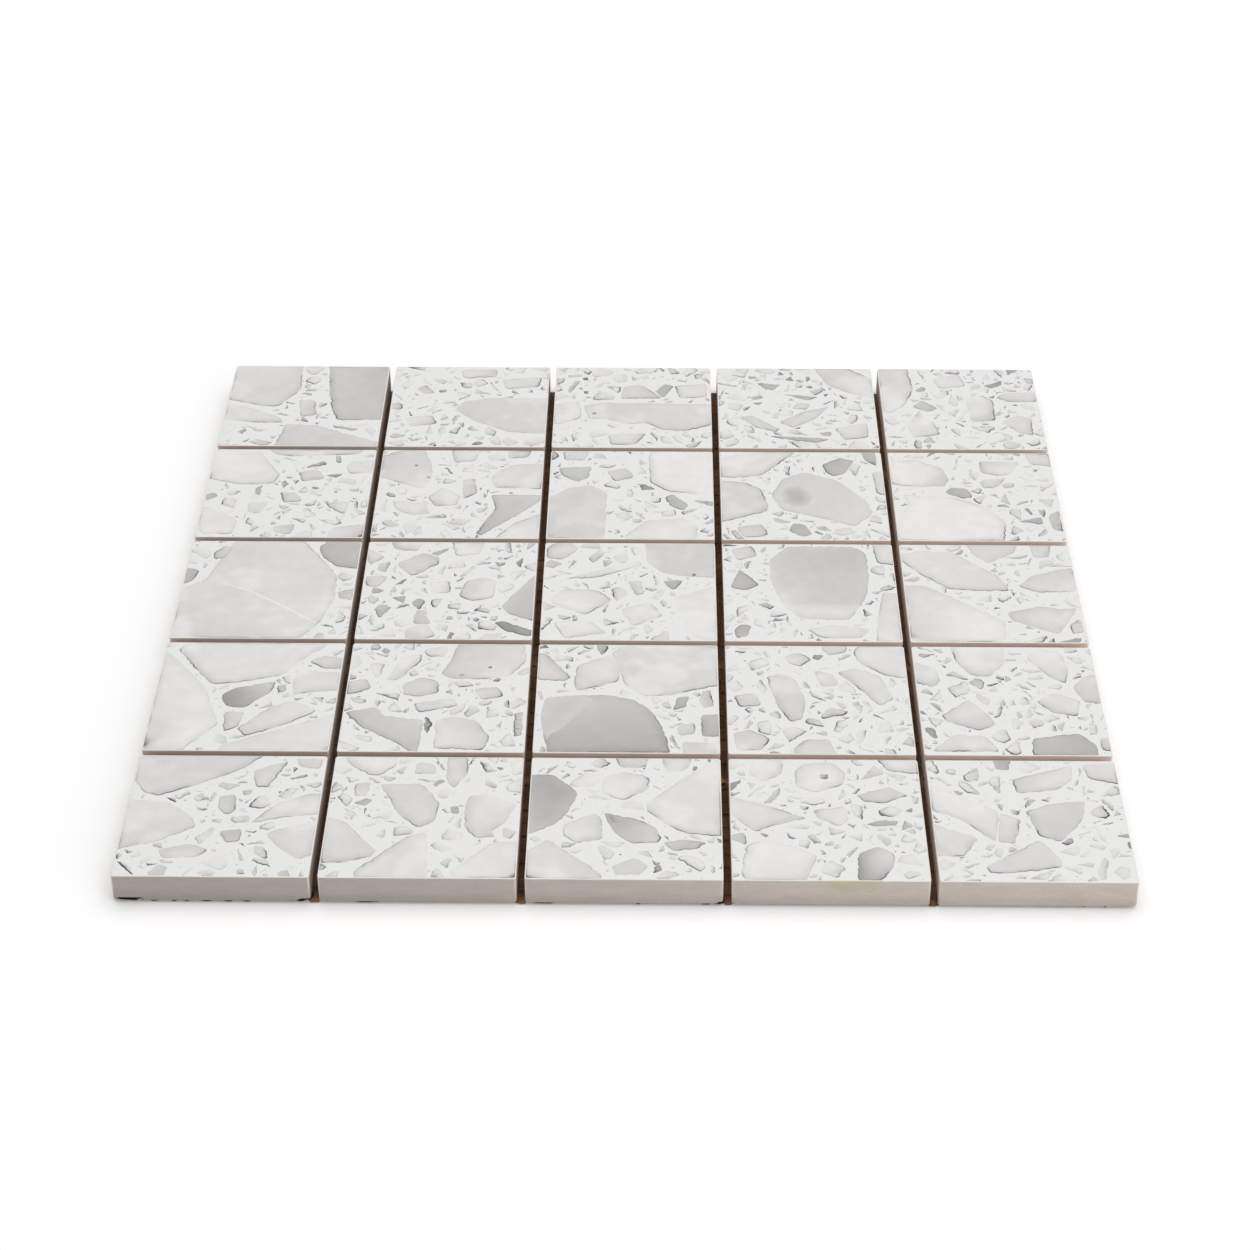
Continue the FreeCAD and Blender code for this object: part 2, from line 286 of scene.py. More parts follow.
        F(BLACK, "49.6,39 50.8,39.2 51,37.8 49.8,37.6"),
        F(PALE, "43.5,25 57.6,32.7 57.6,0 50.2,1.9 45.4,15.4"),
        F(DARK, "39.6,34.6 46.9,35 43.5,28.8"),
        F(PALE, "2,23 7,29.8 18.5,28.8 23.3,23 14.6,14.4 7,18.3"),
        F(PALE, "7,35.6 32,47 32.9,44 18.5,36.5"),
        F(GREY, "0.8,54.7 7,57.6 11.7,53.8 6,47 0.8,48"),
        F(GREY, "14.6,48 18.5,53.4 21,51.8 16.5,45"),
        F(GREY, "28,34.6 32.9,34.6 33.8,26.9 31,26"),
        F(PALE, "26,18 36,22 40,14 30,8"),
        F(PALE, "4,10 16,11 22,4 8,1"),
    ),
    (3, 4): (
        F(FLAT, "16,48 22,56 44,56 48.5,51.8 48.8,36.5 46.9,25 41,12.5 25.8,12.5 20,19.2 15.8,34.6", (-4, -12), -9),
        F(SOFT, "22,20.6 30,22 40,21 45.2,21.4 41,13.2 26,13.2 21,18.6", (0, 0), 16),
        F(DARK, "2.3,30.8 5.6,42 12.3,32.7 7.5,29.2"),
        F(DARK, "3,5.8 5.6,9.6 8.8,8.7 7.5,2.9 4,1.5"),
        F(PALE, "49.8,9.6 52.7,28.8 57.6,27 57.6,0 48.8,0"),
        F(PALE, "26.7,6.7 35.4,9.6 47.6,7.3 44,1.9 31.5,1.9"),
        F(GREY, "3,54 10,56.4 12,50 5,47"),
        F(LIGHT, "50.6,57.6 57.6,57.6 57.6,44 52,46"),
    ),
    (3, 5): (
        F(LIGHT, "0,51 8,53.8 17.7,52.8 32,38.5 35,29.8 23.5,29.8 14.8,30.8 6,39.4", (-4, -4), -3),
        F(PALE, "0,32.7 7,32.7 17.7,24 32,11.5 31,1.9 25.4,0 0,0", (0, 0), 5),
        F(GREY, "37.9,32.7 43.7,39.4 57.2,44 57.2,29.8 44.6,28.8"),
        F(ROSE, "33,17.3 44.6,21 50.4,19.2 56.2,20.2 52.3,11.5 48.5,4.8 40.8,8.7 34,12.5", (8, -6), 14),
        F(FLAT, "22.5,57.6 40.8,57.6 38.8,52.8 29.2,46 24.4,51.8"),
        F(GREY, "44,57.6 52,57.6 50,50 45,50"),
        F(GREY, "52.4,10 56.4,14 56.8,6 53,5"),
    ),
    (4, 1): (
        F(PALE, "0,53.8 7.7,56.6 16.3,55.7 25,40.3 23,34.6 11.5,33.7 0,38.5"),
        F(LIGHT, "17.3,57.6 53.8,57.6 52,54.7 27,52.8 21,54.7"),
        F(LIGHT, "47.7,46 50,50 57.6,50 57.6,42.3 49,41.3"),
        F(PALE, "0,20.2 6.7,16.3 13.5,10.6 12.5,1.9 1.9,1.9"),
        F(GREY, "26,28.8 31.7,28.8 34.6,23 27.9,22"),
        F(LIGHT, "42.7,22 51,23 50,14.4 44,19.2"),
        F(GREY, "26,6.7 33.7,8.7 32.7,1.9 27,2.9"),
        F(GREY, "31,42 38,44 41,38 33,36"),
        F(LIGHT, "16,22 23,23 21,15 16,16"),
        F(LIGHT, "46,6 57.6,9 57.6,0 45,0"),
    ),
    (4, 2): (
        F(PINK, "0,51.8 5.4,56.6 14,57.6 17.9,48 18.8,39.4 16,31.7 9.2,34.6 0,40.3"),
        F(BLACK, "12,47.6 13.2,47.6 13,46.4 12,46.6"),
        F(DARK, "16.6,40 18,39.8 17.8,38.4 16.8,38.4"),
        F(GREY, "17.9,26 22.7,32.7 29.4,27 28.5,21 20.8,20.2", (5, 4)),
        F(LIGHT, "41,43 47.7,48 57.6,49 57.6,31.7 41,32.7 39,38.5"),
        F(MID, "40,27.9 57.6,27.9 53.5,19.2 44.8,9.6 38,1.9 36,2.9 42,19.2", (8, 14), -8),
        F(PALE, "41,0 48,9 57.6,17.6 57.6,0"),
        F(GREY, "29.4,37.4 33.8,38.8 35.2,28.8 30.4,25"),
        F(PALE, "5.4,24 17,22 19.8,15.4 13,14.4 7.3,18.3"),
        F(LIGHT, "24,57.6 36,57.6 33,50 26,49"),
        F(GREY, "44,57.6 54,57.6 52,53 45,52"),
    ),
    (4, 3): (
        F(WHITE, "34.8,53.8 36.7,57.6 57,57.6 57,36.5 54,28.6 41.5,30.8 35.4,36.5"),
        F(FLAT, "0,24 7,32.7 14.6,34.6 20.4,29.8 20,0 0,0", (6, 3), -6),
        F(MID, "3,46 14.6,47 13.7,39.4 9.8,36.5 4,41.3"),
        F(PALE, "27,1.9 33.8,11.5 47.3,13.5 52,7.7 51,0 27,0"),
        F(DARK, "40.6,27 43.5,28.8 48.8,22 47.3,18.3 42.5,21"),
        F(DARK, "50,25 57.6,24 57,21"),
        F(GREY, "20,44 27,46 30,40 23,37"),
        F(LIGHT, "4,57 14,57.4 12,51 5,51"),
    ),
    (4, 4): (
        F(FLAT, "17.7,28.8 22,39.4 29.6,44 41,38.5 50.8,25 52.7,17.3 46,8.7 35.4,13.5 21,19.2", (6, -6)),
        F(SOFT, "20.6,31 23,35.4 28,36 31.6,32 32.4,26 29.6,21.4 25,20.6 21.6,24", (0, 0), -32),
        F(GREY, "0,38.5 9.4,36.5 14.2,32.7 16.5,22 16,18.3 0,9.6", (-4, 4)),
        F(LIGHT, "0,51.8 6.5,55.7 12.3,57.6 28.7,57.6 20,48 14.2,41.3 4.6,39.8 0,41.3", (3, 3)),
        F(DARK, "36.3,49 43,53.8 47.9,51.8 44,43 40,41.3 37.3,44"),
        F(BROWN, "22.9,5.8 24.8,10.6 28.7,9.6 31,3.8 27.7,1.9"),
        F(DARK, "49.8,57.6 55.6,57.6 55.6,48 51.7,51.8"),
        F(GREY, "5,8 14,10 16,3 8,1"),
        F(LIGHT, "53.6,44 57.6,45 57.6,28 54.4,30"),
    ),
    (4, 5): (
        F(WARM, "0,51 10,52.8 18.7,47 20.6,39.4 18.7,35 8,34.6 0,36.5", (-26, 0), 6),
        F(WHITE, "3.3,29.8 8,28.8 21.5,27.5 33,21 37.9,11.5 36,0 0,0 1.3,13.5 5.2,23"),
        F(DARK, "18.3,30.8 20.6,34.2 26.3,33.7 27.9,27.9 24.4,26.9", (12, 0)),
        F(LIGHT, "32,51.8 46.5,51.8 42.7,43.6 38.8,42 32,44"),
        F(GREY, "31,38.5 40.8,41 37,34.6 32,33.7"),
        F(DARK, "41.7,12.5 50.4,15.4 50.4,10.6"),
        F(MID, "49.4,20.2 52.3,20.2 51.3,14.4"),
        F(GREY, "48,57.6 57.6,57.6 57.6,48 50,50"),
        F(MID, "52.8,16 56.8,20 57,6 53.4,8"),
    ),
    (5, 1): (
        F(LIGHT, "0,57.6 25,57.6 26,40.3 19,27.9 13.5,27.9 0,33.7", (-4, 3), -7),
        F(MID, "34.6,57.6 57.6,57.6 57.6,18.3 41.3,18.3 38.5,27 36.5,40.3", (-14, 4)),
        F(LIGHT, "0,29.8 7.7,27.3 20.2,20.2 22,16.3 11.5,16.3 0,18.3"),
        F(GREY, "20.2,0 23,15.4 34.6,14.4 45,8.7 57.6,1.9 57.6,0", (4, 4), -6),
        F(GREY, "26,32.7 31.7,32.7 33.7,22 27.9,20.2"),
        F(DARK, "40,14.6 50,12 48,10.6 41,12.6"),
    ),
    (5, 2): (
        F(FLAT, "23.7,26 26.5,31.7 36,34.6 57.6,34.6 57.6,8.7 43.8,10.6 32.3,17.3", (2, 4)),
        F(LIGHT, "24,55 38,56 38,50 26,49"),
        F(DARK, "17,40 20,41 20,38.6 17.4,38.4"),
        F(LIGHT, "6,20 16,22 18,16 8,14"),
        F(LIGHT, "40,48 55,50 54,43 42,41"),
    ),
    (5, 3): (
        F(GREY, "10.8,29.8 18.5,31.7 57.6,30.8 57.6,17.3 47.3,11.5 39.6,12.5 33.8,17.3 27,16.3 18.5,20.2 12.7,20.2", (2, 3)),
        F(DARK, "14,24.6 15.6,24.8 15.4,23.4 14.2,23.2"),
        F(LIGHT, "0,29.8 8.8,32.7 10,25 10,20.6 3,16.3 0,16.3"),
        F(GREY, "24.2,34.6 25.2,43.3 32,45 39.6,35"),
        F(LIGHT, "13.7,33.7 16.5,41.3 22.3,36.5 22,34"),
        F(BLACK, "10,50 12,50.2 12,48 10.4,48"),
        F(BLACK, "10.6,40 12.4,40 12.2,38 10.8,38.2"),
        F(LIGHT, "44,44 56,46 56,36 46,35"),
        F(LIGHT, "20,9 34,10 30,2 21,2"),
    ),
    (5, 4): (
        F(GREY, "35.4,57.6 46.9,57.6 57.6,47 57.6,34.6 48.8,39.4 41,45", (8, 0)),
        F(GREY, "22,18.3 31.5,26 41,29.8 35.4,21 26.7,14.4"),
        F(GREY, "7.5,22 12.3,23 22,13.5 21,11.5 13.3,14.4"),
        F(DARK, "18,8.7 31.5,7.7 40,6.7 35.4,3.8 22,6.7"),
        F(DARK, "24,38.5 37,36.5 33,34"),
        F(DARK, "12,36 16,38 17,35.6 13,34"),
        F(DARK, "12.6,31.8 16.8,32.6 15,30.4"),
        F(LIGHT, "42,14 54,18 54,8 45,6"),
    ),
    (5, 5): (
        F(LIGHT, "0,57.6 11,57.6 12.3,42 8,30 3.3,25 0,27"),
        F(LIGHT, "31,35.6 37,38.5 41.2,34.6 40.8,20.2 32,19.2"),
        F(MID, "11,29.8 14.8,34.6 20.6,28.8 16.7,26"),
        F(GREY, "42.4,36.5 44.6,39.4 57.2,41.3 57.2,33.7 46.5,33.7"),
        F(WARM, "42.7,19.2 48.5,24 54.2,22 53.3,9.6 48.5,11.5", (-8, 6)),
        F(LIGHT, "20,50 30,54 32,45 22,43"),
        F(LIGHT, "8,18 18,20 20,10 10,8"),
    ),
}


@dataclass(frozen=True)
class FillerSize:
    """One size of the broken stone that fills the bed between the main fragments."""

    smallest: float
    largest: float
    tries: int


FILLERS = (
    FillerSize(6.0, 10.5, 170),
    FillerSize(4.0, 6.0, 150),
    FillerSize(2.6, 4.0, 110),
    FillerSize(1.6, 2.6, 60),
    FillerSize(0.8, 1.6, 50),
)


@dataclass
class FragmentField:
    """The stone fragments of one tile's face: those listed, and broken stone between."""

    seed: int
    placed: tuple[Fragment, ...]
    half: float
    corner: float
    raster: float = 0.2
    clearance: float = 0.3
    border: float = 0.1
    outlines: list[np.ndarray] = field(default_factory=list)
    levels: list[tuple[float, ...]] = field(default_factory=list)

    def __post_init__(self) -> None:
        """Sets up the seeded numbers and the raster that keeps the stones apart."""
        self.random = np.random.default_rng(self.seed)
        count = int(2 * self.half / self.raster) + 1
        self.taken = np.zeros((count, count), bool)

    def edge(self) -> np.ndarray:
        """The face's own outline, a square with eased corners, about the tile's middle.

        Returns:
            Its points, counter-clockwise, about 2 mm apart.
        """
        points = []
        straight = self.half - self.corner
        for quarter in range(4):
            turn = quarter * math.pi / 2
            across = np.linspace(-straight, straight, 27)[:-1]
            for y in across:
                points.append((self.half, y, turn))
            for step in range(4):
                bend = step * math.pi / 8
                x = straight + self.corner * math.cos(bend)
                y = straight + self.corner * math.sin(bend)
                points.append((x, y, turn))
        return np.array(
            [
                (x * math.cos(t) - y * math.sin(t), x * math.sin(t) + y * math.cos(t))
                for x, y, t in points
            ]
        )

    def clip(self, outline: np.ndarray) -> np.ndarray:
        """Cuts an outline off at the sides of the face.

        Args:
            outline: The points of a closed outline.

        Returns:
            The points of the part that lies on the face.
        """
        reach = self.half - self.border
        slant = (2 * reach - self.corner * (2 - math.sqrt(2))) / math.sqrt(2)
        for eighth in range(8):
            facing = np.array([math.cos(eighth * math.pi / 4), math.sin(eighth * math.pi / 4)])
            limit = slant if eighth % 2 else reach
            kept = []
            for here, after in zip(outline, np.roll(outline, -1, axis=0)):
                over, over_after = here @ facing - limit, after @ facing - limit
                if over <= 0:
                    kept.append(here)
                if (over <= 0) != (over_after <= 0):
                    kept.append(here + over / (over - over_after) * (after - here))
            outline = np.array(kept) if kept else np.zeros((0, 2))
            if len(outline) < 3:
                return np.zeros((0, 2))
        return outline

    def broken(self, corners: np.ndarray, step: float, rough: float) -> np.ndarray:
        """Turns straight sides into a broken stone's edge.

        Args:
            corners: The corners of the stone.
            step: The distance between points of the new edge.
            rough: How far a point strays from the straight side.

        Returns:
            The points of the rougher outline.
        """
        eased = []
        for before, here, after in zip(np.roll(corners, 1, axis=0), corners, np.roll(corners, -1, axis=0)):
            back, ahead = before - here, after - here
            cut = min(0.22 * np.linalg.norm(back), 0.22 * np.linalg.norm(ahead), 1.3)
            start = here + back / max(np.linalg.norm(back), 1e-6) * cut
            end = here + ahead / max(np.linalg.norm(ahead), 1e-6) * cut
            eased += [start, 0.5 * here + 0.25 * (start + end), end]
        eased = np.array(eased)
        points = []
        for here, after in zip(eased, np.roll(eased, -1, axis=0)):
            length = np.linalg.norm(after - here)
            parts = max(1, int(round(length / step)))
            normal = np.array([after[1] - here[1], here[0] - after[0]]) / max(length, 1e-6)
            for part in range(parts):
                stray = self.random.normal(0, rough) if part else self.random.normal(0, rough / 3)
                points.append(here + (after - here) * part / parts + normal * stray)
        return np.array(points)

    def cells(self, outline: np.ndarray) -> tuple[slice, slice, np.ndarray]:
        """Finds the raster cells that an outline covers.

        Args:
            outline: The points of a closed outline about the tile's middle.

        Returns:
            The rows, the columns, and a mask of the covered cells in them.
        """
        low = np.floor((outline.min(0) + self.half - self.clearance) / self.raster).astype(int)
        high = np.ceil((outline.max(0) + self.half + self.clearance) / self.raster).astype(int) + 1
        low, high = np.clip(low, 0, self.taken.shape[0]), np.clip(high, 0, self.taken.shape[0])
        xs = np.arange(low[0], high[0]) * self.raster - self.half
        ys = np.arange(low[1], high[1]) * self.raster - self.half
        x, y = np.meshgrid(xs, ys, indexing="ij")
        mask = np.zeros(x.shape, bool)
        for (x0, y0), (x1, y1) in zip(outline, np.roll(outline, -1, axis=0)):
            if y0 == y1:
                continue
            crosses = ((y0 > y) != (y1 > y)) & (x < (x1 - x0) * (y - y0) / (y1 - y0) + x0)
            mask ^= crosses
        return slice(low[0], high[0]), slice(low[1], high[1]), mask

    def grown(self, mask: np.ndarray) -> np.ndarray:
        """The mask widened by the clearance that stones keep from each other."""
        reach = max(1, int(round(self.clearance / self.raster)))
        wide = mask.copy()
        for _ in range(reach):
            wide[1:] |= wide[:-1].copy()
            wide[:-1] |= wide[1:].copy()
            wide[:, 1:] |= wide[:, :-1].copy()
            wide[:, :-1] |= wide[:, 1:].copy()
        return wide

    def add(self, corners: np.ndarray, look: tuple[float, ...], free: bool) -> bool:
        """Adds one stone if there is room for it.

        Args:
            corners: The corners of the stone about the tile's middle.
            look: Its level, rim strength, warmth, lean across and along the tile, and core.
            free: Whether the stone must find free room, as broken stone does.

        Returns:
            Whether the stone was added.
        """
        after = np.roll(corners, -1, axis=0)
        if (corners[:, 0] * after[:, 1] - after[:, 0] * corners[:, 1]).sum() < 0:
            corners = corners[::-1]
        size = np.ptp(corners, axis=0).max()
        step = 1.15 if size > 9 else 0.9 if size > 4 else 0.75
        outline = self.clip(self.broken(corners, step, min(0.16, 0.03 * size)))
        if len(outline) < 3:
            return False
        rows, columns, mask = self.cells(outline)
        if not mask.any():
            return False
        if free and (self.taken[rows, columns] & self.grown(mask)).any():
            return False
        self.taken[rows, columns] |= mask
        self.outlines.append(outline)
        self.levels.append(look)
        return True

    def fill(self) -> None:
        """Places the main fragments and then the broken stone between them."""
        for fragment in self.placed:
            shade = fragment.shade
            lean = fragment.lean if any(fragment.lean) else tuple(self.random.normal(0, 9, 2))
            level = shade.level + self.random.normal(0, 1.2)
            look = (level, shade.rim, shade.warmth, *lean, fragment.core)
            self.add(fragment.points() - TILE_SIDE / 2, look, free=False)
        for filler in FILLERS:
            for _ in range(filler.tries):
                self.add_broken(filler)

    def add_broken(self, filler: FillerSize) -> None:
        """Tries to place one piece of broken stone of the given size."""
        random = self.random
        size = random.uniform(filler.smallest, filler.largest)
        middle = random.uniform(-self.half, self.half, 2)
        cell = np.clip(((middle + self.half) / self.raster).astype(int), 0, len(self.taken) - 1)
        if self.taken[cell[0], cell[1]]:
            return
        sides = random.integers(4, 7 if size < 3 else 8)
        angles = np.sort(random.uniform(0, 2 * math.pi, sides)) + random.uniform(0, 0.4)
        reach = size / 2 * random.uniform(0.75, 1.1, sides)
        slim = random.uniform(0.4, 0.95)
        shape = np.stack([np.cos(angles) * reach, np.sin(angles) * reach * slim], 1)
        turn = random.uniform(0, math.pi)
        spin = np.array([[math.cos(turn), -math.sin(turn)], [math.sin(turn), math.cos(turn)]])
        level = random.choice([236, 233, 229, 222, 211, 192, 166], p=[0.33, 0.25, 0.17, 0.11, 0.08, 0.04, 0.02])
        rim = random.uniform(0.3, 1.3) * min(1.0, 0.45 + size / 7)
        warmth = random.choice([0.0, 0.1, 0.5], p=[0.6, 0.32, 0.08])
        lean = random.normal(0, 13, 2)
        self.add(shape @ spin.T + middle, (level + random.normal(0, 2), rim, warmth, *lean, 0.0), free=True)


def nearest(points: np.ndarray, outline: np.ndarray, cut: float) -> tuple[np.ndarray, np.ndarray]:
    """Measures points against an outline, but not against its straight cut at the tile's side.

    Args:
        points: The points to measure.
        outline: The points of a closed outline.
        cut: The distance from the tile's middle at which outlines are cut.

    Returns:
        Each point's distance to the outline, and the outward normal of the side nearest it.
    """
    start, end = outline, np.roll(outline, -1, axis=0)
    along = end - start
    length = np.maximum((along**2).sum(1), 1e-12)
    share = ((points[:, None] - start[None]) * along[None]).sum(2) / length[None]
    foot = start[None] + np.clip(share, 0, 1)[..., None] * along[None]
    far = np.linalg.norm(points[:, None] - foot, axis=2)
    far[:, ((start * end > 0) & (np.minimum(abs(start), abs(end)) > cut)).any(1)] = 99.0
    side = far.argmin(1)
    normal = np.stack([along[:, 1], -along[:, 0]], 1) / np.sqrt(length)[:, None]
    turned = (outline[:, 0] * np.roll(outline[:, 1], -1) - np.roll(outline[:, 0], -1) * outline[:, 1]).sum()
    return far[np.arange(len(points)), side], normal[side] * (1 if turned > 0 else -1)


@dataclass(frozen=True)
class EdgeCut:
    """A recess under a tile's front edge, in mm across from the tile's middle.

    A positive ramp slants the left end and a negative one the right end, over that distance.
    """

    start: float
    end: float
    height: float
    depth: float = 6.0
    ramp: float = 0.0


EDGE_CUTS: dict[tuple[int, int], tuple[EdgeCut, ...]] = {
    (1, 1): (
        EdgeCut(1.3 - TILE_SIDE / 2, 8.9 - TILE_SIDE / 2, 1.0),
        EdgeCut(TILE_SIDE / 2 - 6.6, TILE_SIDE / 2 + 1, 1.0, ramp=3.8),
        EdgeCut(-TILE_SIDE / 2 - 1, 1.1 - TILE_SIDE / 2, 1.8, 62.0, ramp=-1.4),
    ),
    (1, 3): (EdgeCut(TILE_SIDE / 2 - 3.2, TILE_SIDE / 2 + 1, 0.8, 5.0, ramp=1.8),),
    (1, 5): (EdgeCut(TILE_SIDE / 2 - 1.0, TILE_SIDE / 2 + 1, 1.6, 62.0, ramp=1.3),),
}


@dataclass
class Tile:
    """One porcelain tile: an inlaid terrazzo face over a pressed body with a keyed foot."""

    row: int
    column: int
    arris: float = 0.26
    corner: float = 0.85
    glaze: float = 0.25
    rim_reach: float = 4.0
    relief_margin: float = 6.0
    relief_rib: float = 3.0
    relief_depth: float = 0.6

    @property
    def node(self) -> str:
        """The name of the solid that this tile stands for."""
        return f"tile_r{self.row}_c{self.column}"

    def build(self) -> bpy.types.Object:
        """Builds the tile in its place.

        Returns:
            The finished tile.
        """
        low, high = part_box(self.node)
        middle = Vector(((low[0] + high[0]) / 2, (low[1] + high[1]) / 2, high[2]))
        tile = self.face(middle)
        self.body(tile, middle)
        self.foot(tile, middle)
        for cut in EDGE_CUTS.get((self.row, self.column), ()):
            self.cut_away(tile, middle, cut)
        self.dress(tile, middle)
        return tile

    def face(self, middle: Vector) -> bpy.types.Object:
        """Makes the flat terrazzo face from the outlines of its fragments.

        Args:
            middle: The middle of the tile's top.

        Returns:
            The object that holds the face.
        """
        stones = FragmentField(
            seed=100 * self.row + self.column,
            placed=TILE_FRAGMENTS.get((self.row, self.column), ()),
            half=TILE_SIDE / 2 - self.arris,
            corner=self.corner,
        )
        stones.fill()
        edge = stones.edge()
        points, sides = [tuple(p) for p in edge], []
        for outline in stones.outlines:
            first, count = len(points), len(outline)
            sides += [(first + i, first + (i + 1) % count) for i in range(count)]
            points += [tuple(p) for p in outline]
        for outline in stones.outlines:
            points += self.inner_points(outline)
        whole = [list(range(len(edge)))]
        made = delaunay_2d_cdt([Vector(p) for p in points], sides, whole, 1, 1e-4, True)
        where = np.array([tuple(v) for v in made[0]])
        owners = self.owners(where[np.array(made[2])].mean(1), stones.outlines)
        triangles = list(zip(made[2], owners))
        mesh = bpy.data.meshes.new(f"terrazzo_{self.node}")
        place = [(middle.x + x * MM, middle.y + y * MM, middle.z) for x, y in where]
        mesh.from_pydata(place, [], [t for t, _ in triangles])
        self.colour(mesh, where, triangles, stones)
        tile = bpy.data.objects.new(f"terrazzo_{self.node}", mesh)
        bpy.context.scene.collection.objects.link(tile)
        return tile

    @staticmethod
    def owners(middles: np.ndarray, outlines: list[np.ndarray]) -> np.ndarray:
        """Finds the stone that each triangle belongs to.

        Args:
            middles: The middles of the triangles.
            outlines: The outlines of the stones.

        Returns:
            For each triangle the number of its stone from 1 up, or 0 for the bed.
        """
        found = np.zeros(len(middles), int)
        for number, outline in enumerate(outlines, 1):
            low, high = outline.min(0), outline.max(0)
            near = np.flatnonzero(((middles >= low) & (middles <= high)).all(1))
            x, y = middles[near].T
            inside = np.zeros(len(near), bool)
            for (x0, y0), (x1, y1) in zip(outline, np.roll(outline, -1, axis=0)):
                if y0 != y1:
                    inside ^= ((y0 > y) != (y1 > y)) & (x < (x1 - x0) * (y - y0) / (y1 - y0) + x0)
            found[near[inside]] = number
        return found

    def inner_points(self, outline: np.ndarray) -> list[tuple[float, float]]:
        """Picks points inside a fragment that carry its rim's fading.

        Args:
            outline: The points of the fragment's outline.

        Returns:
            The inner points.
        """
        found: list[tuple[float, float]] = []
        ahead, back = np.roll(outline, -1, axis=0), np.roll(outline, 1, axis=0)
        turned = (outline[:, 0] * ahead[:, 1] - ahead[:, 0] * outline[:, 1]).sum()
        tangent = ahead - back
        normal = np.stack([-tangent[:, 1], tangent[:, 0]], 1) * (1 if turned > 0 else -1)
        normal /= np.maximum(np.linalg.norm(normal, axis=1), 1e-9)[:, None]
        for depth, skip in ((0.4, 1), (1.1, 2), (2.3, 3), (self.rim_reach, 4)):
            inner = (outline + normal * depth)[::skip]
            far, _ = nearest(inner, outline, CUT_AT)
            found += [tuple(p) for p in inner[far > 0.93 * depth] if np.abs(p).max() < TILE_SIDE / 2 - 0.7]
        if not found:
            found.append(tuple(outline.mean(0)))
        return found

    def colour(self, mesh: bpy.types.Mesh, where: np.ndarray, triangles: list, stones: FragmentField) -> None:
        """Stores each corner's stone level, rim, edge strength and warmth, and each face's kind.

        Args:
            mesh: The mesh of the face.
            where: The mesh's vertices in mm about the tile's middle.
            triangles: Each triangle with the number of the outline that holds it.
            stones: The fragments of the face.
        """
        corners = np.array([t for t, _ in triangles])
        owner = np.array([o for _, o in triangles])
        look = np.zeros((len(corners), 3, 4), np.float32)
        look[..., 0], look[..., 1] = linear(BED_LEVEL), 1.0
        for number, (outline, level) in enumerate(zip(stones.outlines, stones.levels), 1):
            mine = np.flatnonzero(owner == number)
            if not len(mine):
                continue
            used, back = np.unique(corners[mine], return_inverse=True)
            far, normal = nearest(where[used], outline, CUT_AT)
            size = max(np.ptp(outline, axis=0).max(), 1.0)
            lean = (where[used] - outline.mean(0)) @ np.array(level[3:5]) / size
            deep = np.clip(far / self.rim_reach, 0, 1)
            shade = np.array([linear(min(238.0, level[0] + s)) for s in lean + level[5] * deep])
            facing = 1.1 * math.sin(7.7 * outline[:, 0].mean() + 12.9 * outline[:, 1].mean()) - 1.5
            away = np.clip(0.5 + 0.5 * (normal @ np.array([math.cos(facing), math.sin(facing)])), 0, 1)
            strength = level[1] * (0.12 + 0.95 * away**1.3)
            values = np.stack([shade, deep, strength, np.full(len(used), level[2])], 1)
            look[mine] = values[back.reshape(-1, 3)]
        shades = mesh.attributes.new("fragment", "FLOAT_COLOR", "CORNER")
        shades.data.foreach_set("color", look.ravel())
        stone = mesh.attributes.new("stone", "FLOAT", "FACE")
        stone.data.foreach_set("value", (owner > 0).astype(np.float32))

    def body(self, tile: bpy.types.Object, middle: Vector) -> None:
        """Draws the face's edge down over the arris and along the walls to the foot.

        Args:
            tile: The object that holds the face.
            middle: The middle of the tile's top.
        """
        half = TILE_SIDE / 2
        steps = (
            (half - 0.12, -0.03),
            (half - 0.04, -0.08),
            (half - 0.005, -0.15),
            (half, -self.glaze),
            (half - 0.01, -self.glaze - 0.12),
            (half, -4.5),
            (half, TILE_FOOT - TILE_TOP + 0.15),
            (half - 0.12, TILE_FOOT - TILE_TOP),
        )
        edit(tile)
        bpy.ops.mesh.select_mode(type="EDGE")
        bpy.ops.mesh.select_all(action="DESELECT")
        bpy.ops.mesh.select_non_manifold(extend=False, use_wire=False, use_multi_face=False, use_non_contiguous=False, use_verts=False)
        reach, depth = half - self.arris, 0.0
        for wide, deep in steps:
            grow = wide / reach
            bpy.ops.mesh.extrude_edges_move(TRANSFORM_OT_translate={"value": (0, 0, (deep - depth) * MM)})
            bpy.ops.transform.resize(value=(grow, grow, 1), center_override=middle)
            reach, depth = wide, deep
        bpy.ops.object.mode_set(mode="OBJECT")

